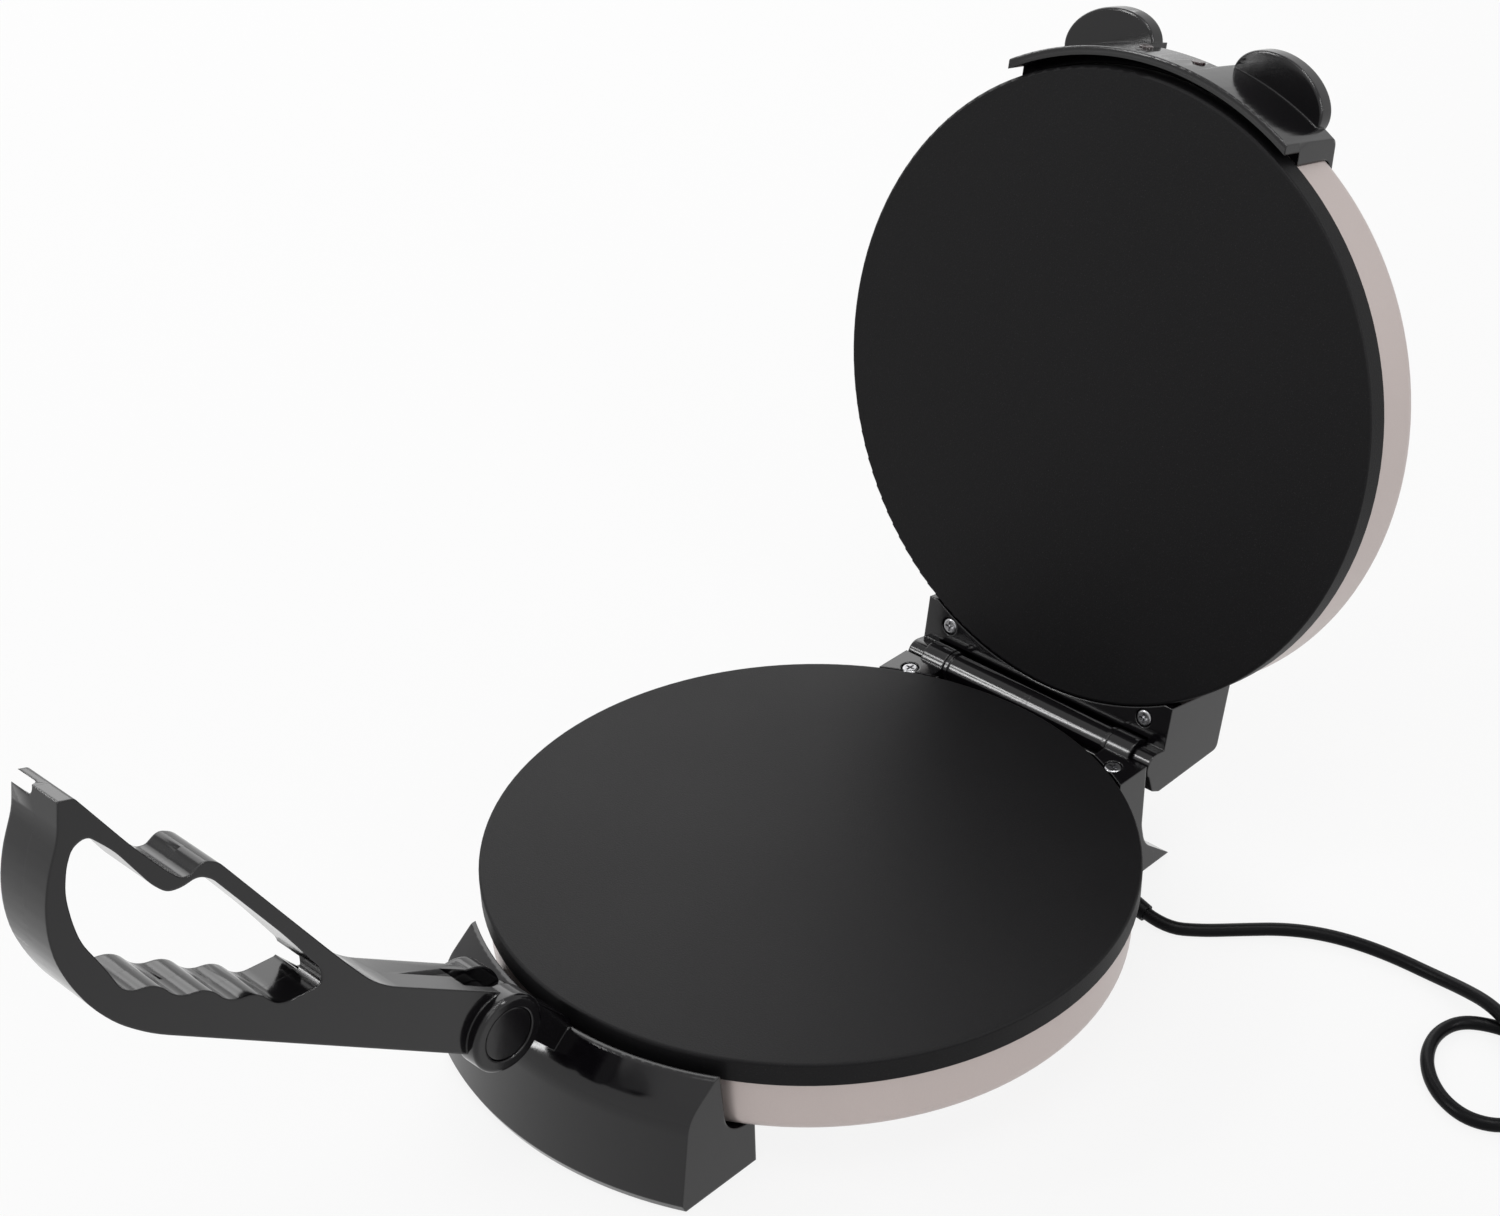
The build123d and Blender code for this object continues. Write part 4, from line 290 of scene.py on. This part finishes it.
def settled():
    """The primitive just added, with its place and turn taken into its mesh."""
    bpy.ops.object.transform_apply(location=True, rotation=True, scale=True)
    return bpy.context.object


def moulded_copy(name):
    """A merged copy of a moulded node."""
    piece = bpy.data.objects.new(name + "_moulding", nodes[name].data.copy())
    bpy.context.collection.objects.link(piece)
    picked(piece)
    bpy.ops.object.mode_set(mode="EDIT")
    bpy.ops.mesh.select_all(action="SELECT")
    bpy.ops.mesh.remove_doubles(threshold=MERGE_DISTANCE)
    bpy.ops.object.mode_set(mode="OBJECT")
    return piece


def cut_back(piece, place, outward):
    """Keep only what lies outward of a plane, with the cut closed and its faces outwards."""
    picked(piece)
    bpy.ops.object.mode_set(mode="EDIT")
    bpy.ops.mesh.select_all(action="SELECT")
    bpy.ops.mesh.bisect(plane_co=place, plane_no=outward, use_fill=True, clear_inner=True)
    bpy.ops.mesh.select_all(action="SELECT")
    bpy.ops.mesh.normals_make_consistent(inside=False)
    bpy.ops.object.mode_set(mode="OBJECT")


def merged_with(piece, tool, operation):
    """Join or trim a piece by another solid, which is used up."""
    cut = piece.modifiers.new("cut", "BOOLEAN")
    cut.operation, cut.object, cut.solver = operation, tool, "EXACT"
    picked(piece)
    bpy.ops.object.modifier_apply(modifier="cut")
    bpy.data.objects.remove(tool)


def even_shading(piece):
    """Smooth a piece's curves and keep its flat faces flat."""
    picked(piece)
    bpy.ops.object.shade_smooth_by_angle(angle=SMOOTH_LIMIT)
    normals = piece.modifiers.new("normals", "WEIGHTED_NORMAL")
    normals.keep_sharp = True
    bpy.ops.object.modifier_apply(modifier="normals")


lever_gloss = glossy_black("lever_plastic")
across = Socket.of(lever_gloss.tree, "ShaderNodeSeparateXYZ", None, {0: lever_gloss.place}, output="X")
clear_of_seam = across.math("ABSOLUTE").math("GREATER_THAN", SEAM_HALF)
lever_edge = SEAM_EDGE + clear_of_seam * MOULDED_EDGE
lever_gloss.bump(lever_gloss.noise(MOULDING_RIPPLE_CELLS), MOULDING_RIPPLE, lever_edge)
lever_gloss.on(nodes["lever_right_shell"], nodes["barrel_caps"])

left_half = moulded_copy("lever_left_shell")
tip = moulded_copy("lever_right_shell")
tip.data.transform(Matrix.Scale(-1, 4, (1, 0, 0)))
cut_back(tip, on_lever(TIP_START, 0), along_lever)
merged_with(left_half, tip, "UNION")

heading = along_lever * cos(NOTCH_HEADING) + above_lever * sin(NOTCH_HEADING)
notch_middle = -NOTCH_SIDE - NOTCH_RADIUS
bpy.ops.object.select_all(action="DESELECT")
bpy.ops.mesh.primitive_cylinder_add(
    vertices=NOTCH_FACETS, radius=NOTCH_RADIUS, depth=NOTCH_RUN,
    location=on_lever(*NOTCH_END, notch_middle) + heading * NOTCH_RUN / 2,
    rotation=Vector((0, 0, 1)).rotation_difference(heading).to_euler(),
)
notch = settled()
bpy.ops.object.mode_set(mode="EDIT")
bpy.ops.mesh.select_mode(type="VERT")
bpy.ops.mesh.select_all(action="DESELECT")
bpy.ops.object.mode_set(mode="OBJECT")
for vertex in notch.data.vertices:
    vertex.select = vertex.co.x < notch_middle - MERGE_DISTANCE
bpy.ops.object.mode_set(mode="EDIT")
bpy.ops.transform.translate(value=(-LEVER_HALF, 0, 0))
bpy.ops.object.mode_set(mode="OBJECT")
merged_with(left_half, notch, "DIFFERENCE")
even_shading(left_half)

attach(left_half, "lever")
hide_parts("lever_left_shell")
lever_gloss.on(left_half)


# Lid's front cover: one moulding with a D-shaped tab each side of the lamps, level with
# the top of the cover and standing clear of its front wall, so that fingers can lift it.
# The wall leans in a little towards the top of the closed lid, so that it leaves its mould.

WALL_FOOT_RADIUS = 0.13245
WALL_TOP_RADIUS = 0.13045
WALL_BASE, WALL_REACH = -0.005, 0.067
WALL_FACETS = 360
TAB_AZIMUTH = radians(17.4)
TAB_RING = 0.1305
TAB_ROOT_RING = 0.1272
TAB_HALF_WIDTH, TAB_DEPTH = 0.0212, 0.0140
TAB_BASE, TAB_TOP = 0.0285, 0.0358
TAB_FACETS = 72
TAB_EDGE_ROUND = 0.0014
TAB_EDGE_FACETS = 4

hinge = Vector(joints["lid_hinge"]["pos_m"])
lid_open = radians(joints["lid_hinge"]["range_deg"][1])


def open_with_lid(piece):
    """Carry a piece made at the closed lid to the open lid."""
    swing = Matrix.Rotation(-lid_open, 4, "X")
    piece.data.transform(Matrix.Translation(hinge) @ swing @ Matrix.Translation(-hinge))


bpy.ops.object.select_all(action="DESELECT")
bpy.ops.mesh.primitive_cone_add(
    vertices=WALL_FACETS, radius1=WALL_FOOT_RADIUS, radius2=WALL_TOP_RADIUS, depth=WALL_REACH,
    location=(0, 0, WALL_BASE + WALL_REACH / 2),
)
wall_limit = settled()
open_with_lid(wall_limit)

front_cover = moulded_copy("lid_front_moulding")
merged_with(front_cover, wall_limit, "INTERSECT")
for side in (1, -1):
    outward = Vector((side * sin(TAB_AZIMUTH), -cos(TAB_AZIMUTH), 0))
    bpy.ops.object.select_all(action="DESELECT")
    bpy.ops.mesh.primitive_cylinder_add(
        vertices=TAB_FACETS, radius=1, depth=TAB_TOP - TAB_BASE,
        location=outward * TAB_RING + Vector((0, 0, (TAB_TOP + TAB_BASE) / 2)),
        rotation=(0, 0, side * TAB_AZIMUTH), scale=(TAB_HALF_WIDTH, TAB_DEPTH, 1),
    )
    tab = settled()
    cut_back(tab, outward * TAB_ROOT_RING, outward)
    rounding = tab.modifiers.new("edges", "BEVEL")
    rounding.width, rounding.segments = TAB_EDGE_ROUND, TAB_EDGE_FACETS
    rounding.limit_method, rounding.angle_limit = "ANGLE", SMOOTH_LIMIT
    bpy.ops.object.modifier_apply(modifier="edges")
    open_with_lid(tab)
    merged_with(front_cover, tab, "UNION")
even_shading(front_cover)

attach(front_cover, "lid")
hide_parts("lid_front_moulding")
gloss.on(front_cover)


# Small pieces: soft rubber pads pressed into the feet, dark red windows moulded in
# acrylic and pressed into the lid's front wall, and the small glass lamps behind them.

RUBBER_COLOURS = (0.018, 0.018, 0.018), (0.032, 0.031, 0.030)
RUBBER_RELIEF = 0.0001
LENS_COLOURS = (0.016, 0.003, 0.003), (0.030, 0.005, 0.004)
LAMP_COLOURS = (0.75, 0.42, 0.26), (0.85, 0.55, 0.36)

rubber = Finish("pad_rubber")
rubber_grain = rubber.mottle(RUBBER_COLOURS, roughness=(0.62, 0.80), cells=350, detail=3)
rubber.bump(rubber_grain, RUBBER_RELIEF)
rubber.on(nodes["rubber_feet"])

lens = Finish("red_lens", ior=1.49)
lens.mottle(LENS_COLOURS, roughness=(0.08, 0.16), cells=220)
lens.on(nodes["indicator_lenses"])

lamp = Finish("lamp_glass", ior=1.45)
lamp.mottle(LAMP_COLOURS, roughness=(0.08, 0.16), cells=220)
lamp.on(nodes["indicator_lamps"])


# Mains cord: a round black PVC flex that leaves the rear foot on the right, makes one
# loose loop on the table and is coiled and tied, with a moulded plug on its end.
# The jacket is extruded, so it is smooth with a very fine grain.

CORD_COLOURS = (0.0035, 0.0035, 0.004), (0.007, 0.007, 0.008)
CORD_RELIEF = 0.00006
TIE_COLOUR = (0.02, 0.02, 0.021, 1)
TIE_RELIEF = 0.00005
CORD_DIAMETER = 0.0054

CORD_START = [
    (0.08552, 0.1050, -0.05057),
    (0.09530, 0.1050, -0.05265),
    (0.1065, 0.1136, -0.0533),
    (0.1180, 0.1250, -0.0533),
    (0.1300, 0.1366, -0.0533),
    (0.1430, 0.1444, -0.0533),
    (0.1575, 0.1492, -0.0533),
    (0.1730, 0.1516, -0.0533),
    (0.1900, 0.1514, -0.0526),
    (0.2060, 0.1486, -0.0494),
    (0.2195, 0.1446, -0.0466),
    (0.2320, 0.1390, -0.0466),
    (0.2460, 0.1305, -0.0494),
    (0.2565, 0.1186, -0.0526),
    (0.2605, 0.1056, -0.0533),
    (0.2555, 0.0950, -0.0533),
    (0.2440, 0.0900, -0.0533),
    (0.2315, 0.0928, -0.0533),
    (0.2206, 0.1006, -0.0533),
    (0.2128, 0.1114, -0.0533),
    (0.2096, 0.1240, -0.0533),
    (0.2126, 0.1354, -0.0533),
    (0.2224, 0.1416, -0.0533),
    (0.2340, 0.1440, -0.0533),
    (0.2455, 0.1438, -0.0530),
    (0.2560, 0.1424, -0.0524),
]

COIL_CENTRE = (0.264, 0.178)
COIL_HEIGHTS = (-0.0524, -0.0464)
COIL_REACHES = [0.0356, 0.0324, 0.0292, 0.0260, 0.0228, 0.0212, 0.0262, 0.0294, 0.0326]
COIL_LAYER = 5
POINTS_PER_HALF = 8

CORD_TAIL = [
    (0.2750, 0.1454, -0.0464),
    (0.2870, 0.1475, -0.0464),
    (0.2970, 0.1538, -0.0488),
    (0.3035, 0.1634, -0.0522),
    (0.3065, 0.1745, -0.0533),
    (0.3065, 0.1855, -0.0520),
    (0.3065, 0.1960, -0.0476),
    (0.3065, 0.2050, -0.0450),
    (0.3065, 0.2130, -0.0450),
]


def coil_points():
    """Points of the coil's turns, half a turn at a time, just outside the cord's own line."""
    x, y = COIL_CENTRE
    low, high = COIL_HEIGHTS
    step = pi / POINTS_PER_HALF
    points = []
    for half in range(len(COIL_REACHES) - 1):
        side = -1 if half % 2 == 0 else 1
        start, end = COIL_REACHES[half], COIL_REACHES[half + 1]
        radius = (start + end) / 2 / cos(step / 2)
        middle = y + side * (start - end) / 2
        start_z = low if half < COIL_LAYER else high
        end_z = low if half + 1 < COIL_LAYER else high
        for index in range(POINTS_PER_HALF):
            angle = (index + 0.5) * step
            share = (1 - cos(angle)) / 2
            points.append((
                x - side * radius * sin(angle),
                middle + side * radius * cos(angle),
                start_z + (end_z - start_z) * share,
            ))
    return points


curve = bpy.data.curves.new("mains_cord", "CURVE")
curve.dimensions = "3D"
curve.resolution_u = 6
curve.bevel_depth = CORD_DIAMETER / 2
curve.bevel_resolution = 5
curve.use_fill_caps = True
spline = curve.splines.new("NURBS")
cord_points = CORD_START + coil_points() + CORD_TAIL
spline.points.add(len(cord_points) - 1)
for point, place in zip(spline.points, cord_points):
    point.co = (*place, 1.0)
spline.order_u = 3
spline.use_endpoint_u = True
mains_cord = bpy.data.objects.new("mains_cord", curve)
bpy.context.collection.objects.link(mains_cord)

cord_finish = Finish("cord_pvc", ior=1.46, specular_ior_level=0.08)
cord_finish.mottle(CORD_COLOURS, roughness=(0.26, 0.40), cells=60)
cord_finish.bump(cord_finish.noise(cells=900, detail=3), CORD_RELIEF)
cord_finish.on(
    mains_cord, nodes["cord_bushing"], nodes["power_plug"], nodes["power_cord"], nodes["cord_coil"],
)

tie_finish = Finish("tie_nylon", base_color=TIE_COLOUR)
tie_finish.feed(roughness=0.42 + tie_finish.noise(cells=300) * 0.15)
tie_finish.bump(tie_finish.noise(cells=1500), TIE_RELIEF)
tie_finish.on(nodes["cord_tie"])

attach(mains_cord, "base")
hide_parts("power_cord", "cord_coil")


# Studio: a plain white table in a white room, with a large soft light behind, smaller
# ones above and at the sides, and three narrow strips that only polished surfaces show.
# It is seen from the photograph's camera.

FLOOR = -0.056
TABLE_SIZE = 8
TABLE_COLOUR = (0.86, 0.86, 0.86, 1)
WHITE = (1, 1, 1, 1)
TABLE_GLOW = 0.86
ROOM_LIGHT = 0.31
CAMERA_PLACE = (0.54419, -0.57282, 0.5959)
CAMERA_TURN = (radians(53.15), 0, radians(42.21))
CAMERA_LENS, CAMERA_SENSOR = 61.85, 36
CAMERA_SHIFT = (-0.0725, 0.1515)

camera_data = bpy.data.cameras.new("camera")
camera_data.lens = CAMERA_LENS
camera_data.sensor_width = CAMERA_SENSOR
camera_data.shift_x, camera_data.shift_y = CAMERA_SHIFT
camera = bpy.data.objects.new("camera", camera_data)
camera.location = CAMERA_PLACE
camera.rotation_euler = CAMERA_TURN
bpy.context.collection.objects.link(camera)
scene = bpy.context.scene
scene.camera = camera
scene.view_settings.view_transform = "Standard"


def seen(tree):
    """One for what the camera sees, straight or in a polished surface, and nought elsewhere."""
    by_camera = Socket.of(tree, "ShaderNodeLightPath", output="Is Camera Ray")
    return by_camera.math("MAXIMUM", Socket.of(tree, "ShaderNodeLightPath", output="Is Glossy Ray"))


bpy.ops.object.select_all(action="DESELECT")
bpy.ops.mesh.primitive_plane_add(size=TABLE_SIZE, location=(0, 0, FLOOR))
table = settled()
table.name = "table"
table_finish = Finish("white_table", base_color=TABLE_COLOUR, roughness=0.6)
tree = table_finish.tree
surface = Socket(tree, table_finish.shader.outputs[0])
glow = Socket.of(tree, "ShaderNodeEmission", None, {"Color": WHITE, "Strength": 1.0})
blend = Socket.of(tree, "ShaderNodeMixShader", None, {0: seen(tree) * TABLE_GLOW, 1: surface, 2: glow})
tree.links.new(blend.out, tree.nodes["Material Output"].inputs["Surface"])
table_finish.on(table)

world = bpy.data.worlds.new("studio")
scene.world = world
world.use_nodes = True
room = world.node_tree
strength = ROOM_LIGHT + seen(room) * (1 - ROOM_LIGHT)
room.nodes["Background"].inputs["Color"].default_value = WHITE
room.links.new(strength.out, room.nodes["Background"].inputs["Strength"])


def soft_light(name, place, aim, size, power, glints_only=False):
    """A rectangular light turned towards a point, which only shows as a glint if asked."""
    data = bpy.data.lights.new(name, "AREA")
    data.shape = "RECTANGLE"
    data.size, data.size_y = size
    data.energy = power
    light = bpy.data.objects.new(name, data)
    light.location = place
    light.rotation_euler = (Vector(aim) - Vector(place)).to_track_quat("-Z", "Y").to_euler()
    light.visible_diffuse = not glints_only
    bpy.context.collection.objects.link(light)


soft_light("rear", (-1.6, 1.15, 1.35), aim=(0, 0, 0), size=(2.4, 1.6), power=26)
soft_light("overhead", (0.2, -0.5, 1.6), aim=(0, 0, 0), size=(1.0, 1.0), power=6)
soft_light("key", (-0.9, -0.8, 1.1), aim=(0, 0, 0.05), size=(0.2, 0.2), power=2.5)
soft_light("right", (1.3, -0.3, 0.8), aim=(0, 0, 0.05), size=(0.5, 0.8), power=3)
soft_light("left_strip", (-0.75, -0.9, 0.75), aim=(0, -0.2, 0), size=(0.10, 0.7), power=5, glints_only=True)
soft_light("top_strip", (0.35, 0.1, 1.3), aim=(0, -0.1, 0), size=(0.8, 0.08), power=5, glints_only=True)
soft_light("right_strip", (1.0, 0.35, 0.7), aim=(0, -0.1, 0), size=(0.08, 0.6), power=4, glints_only=True)
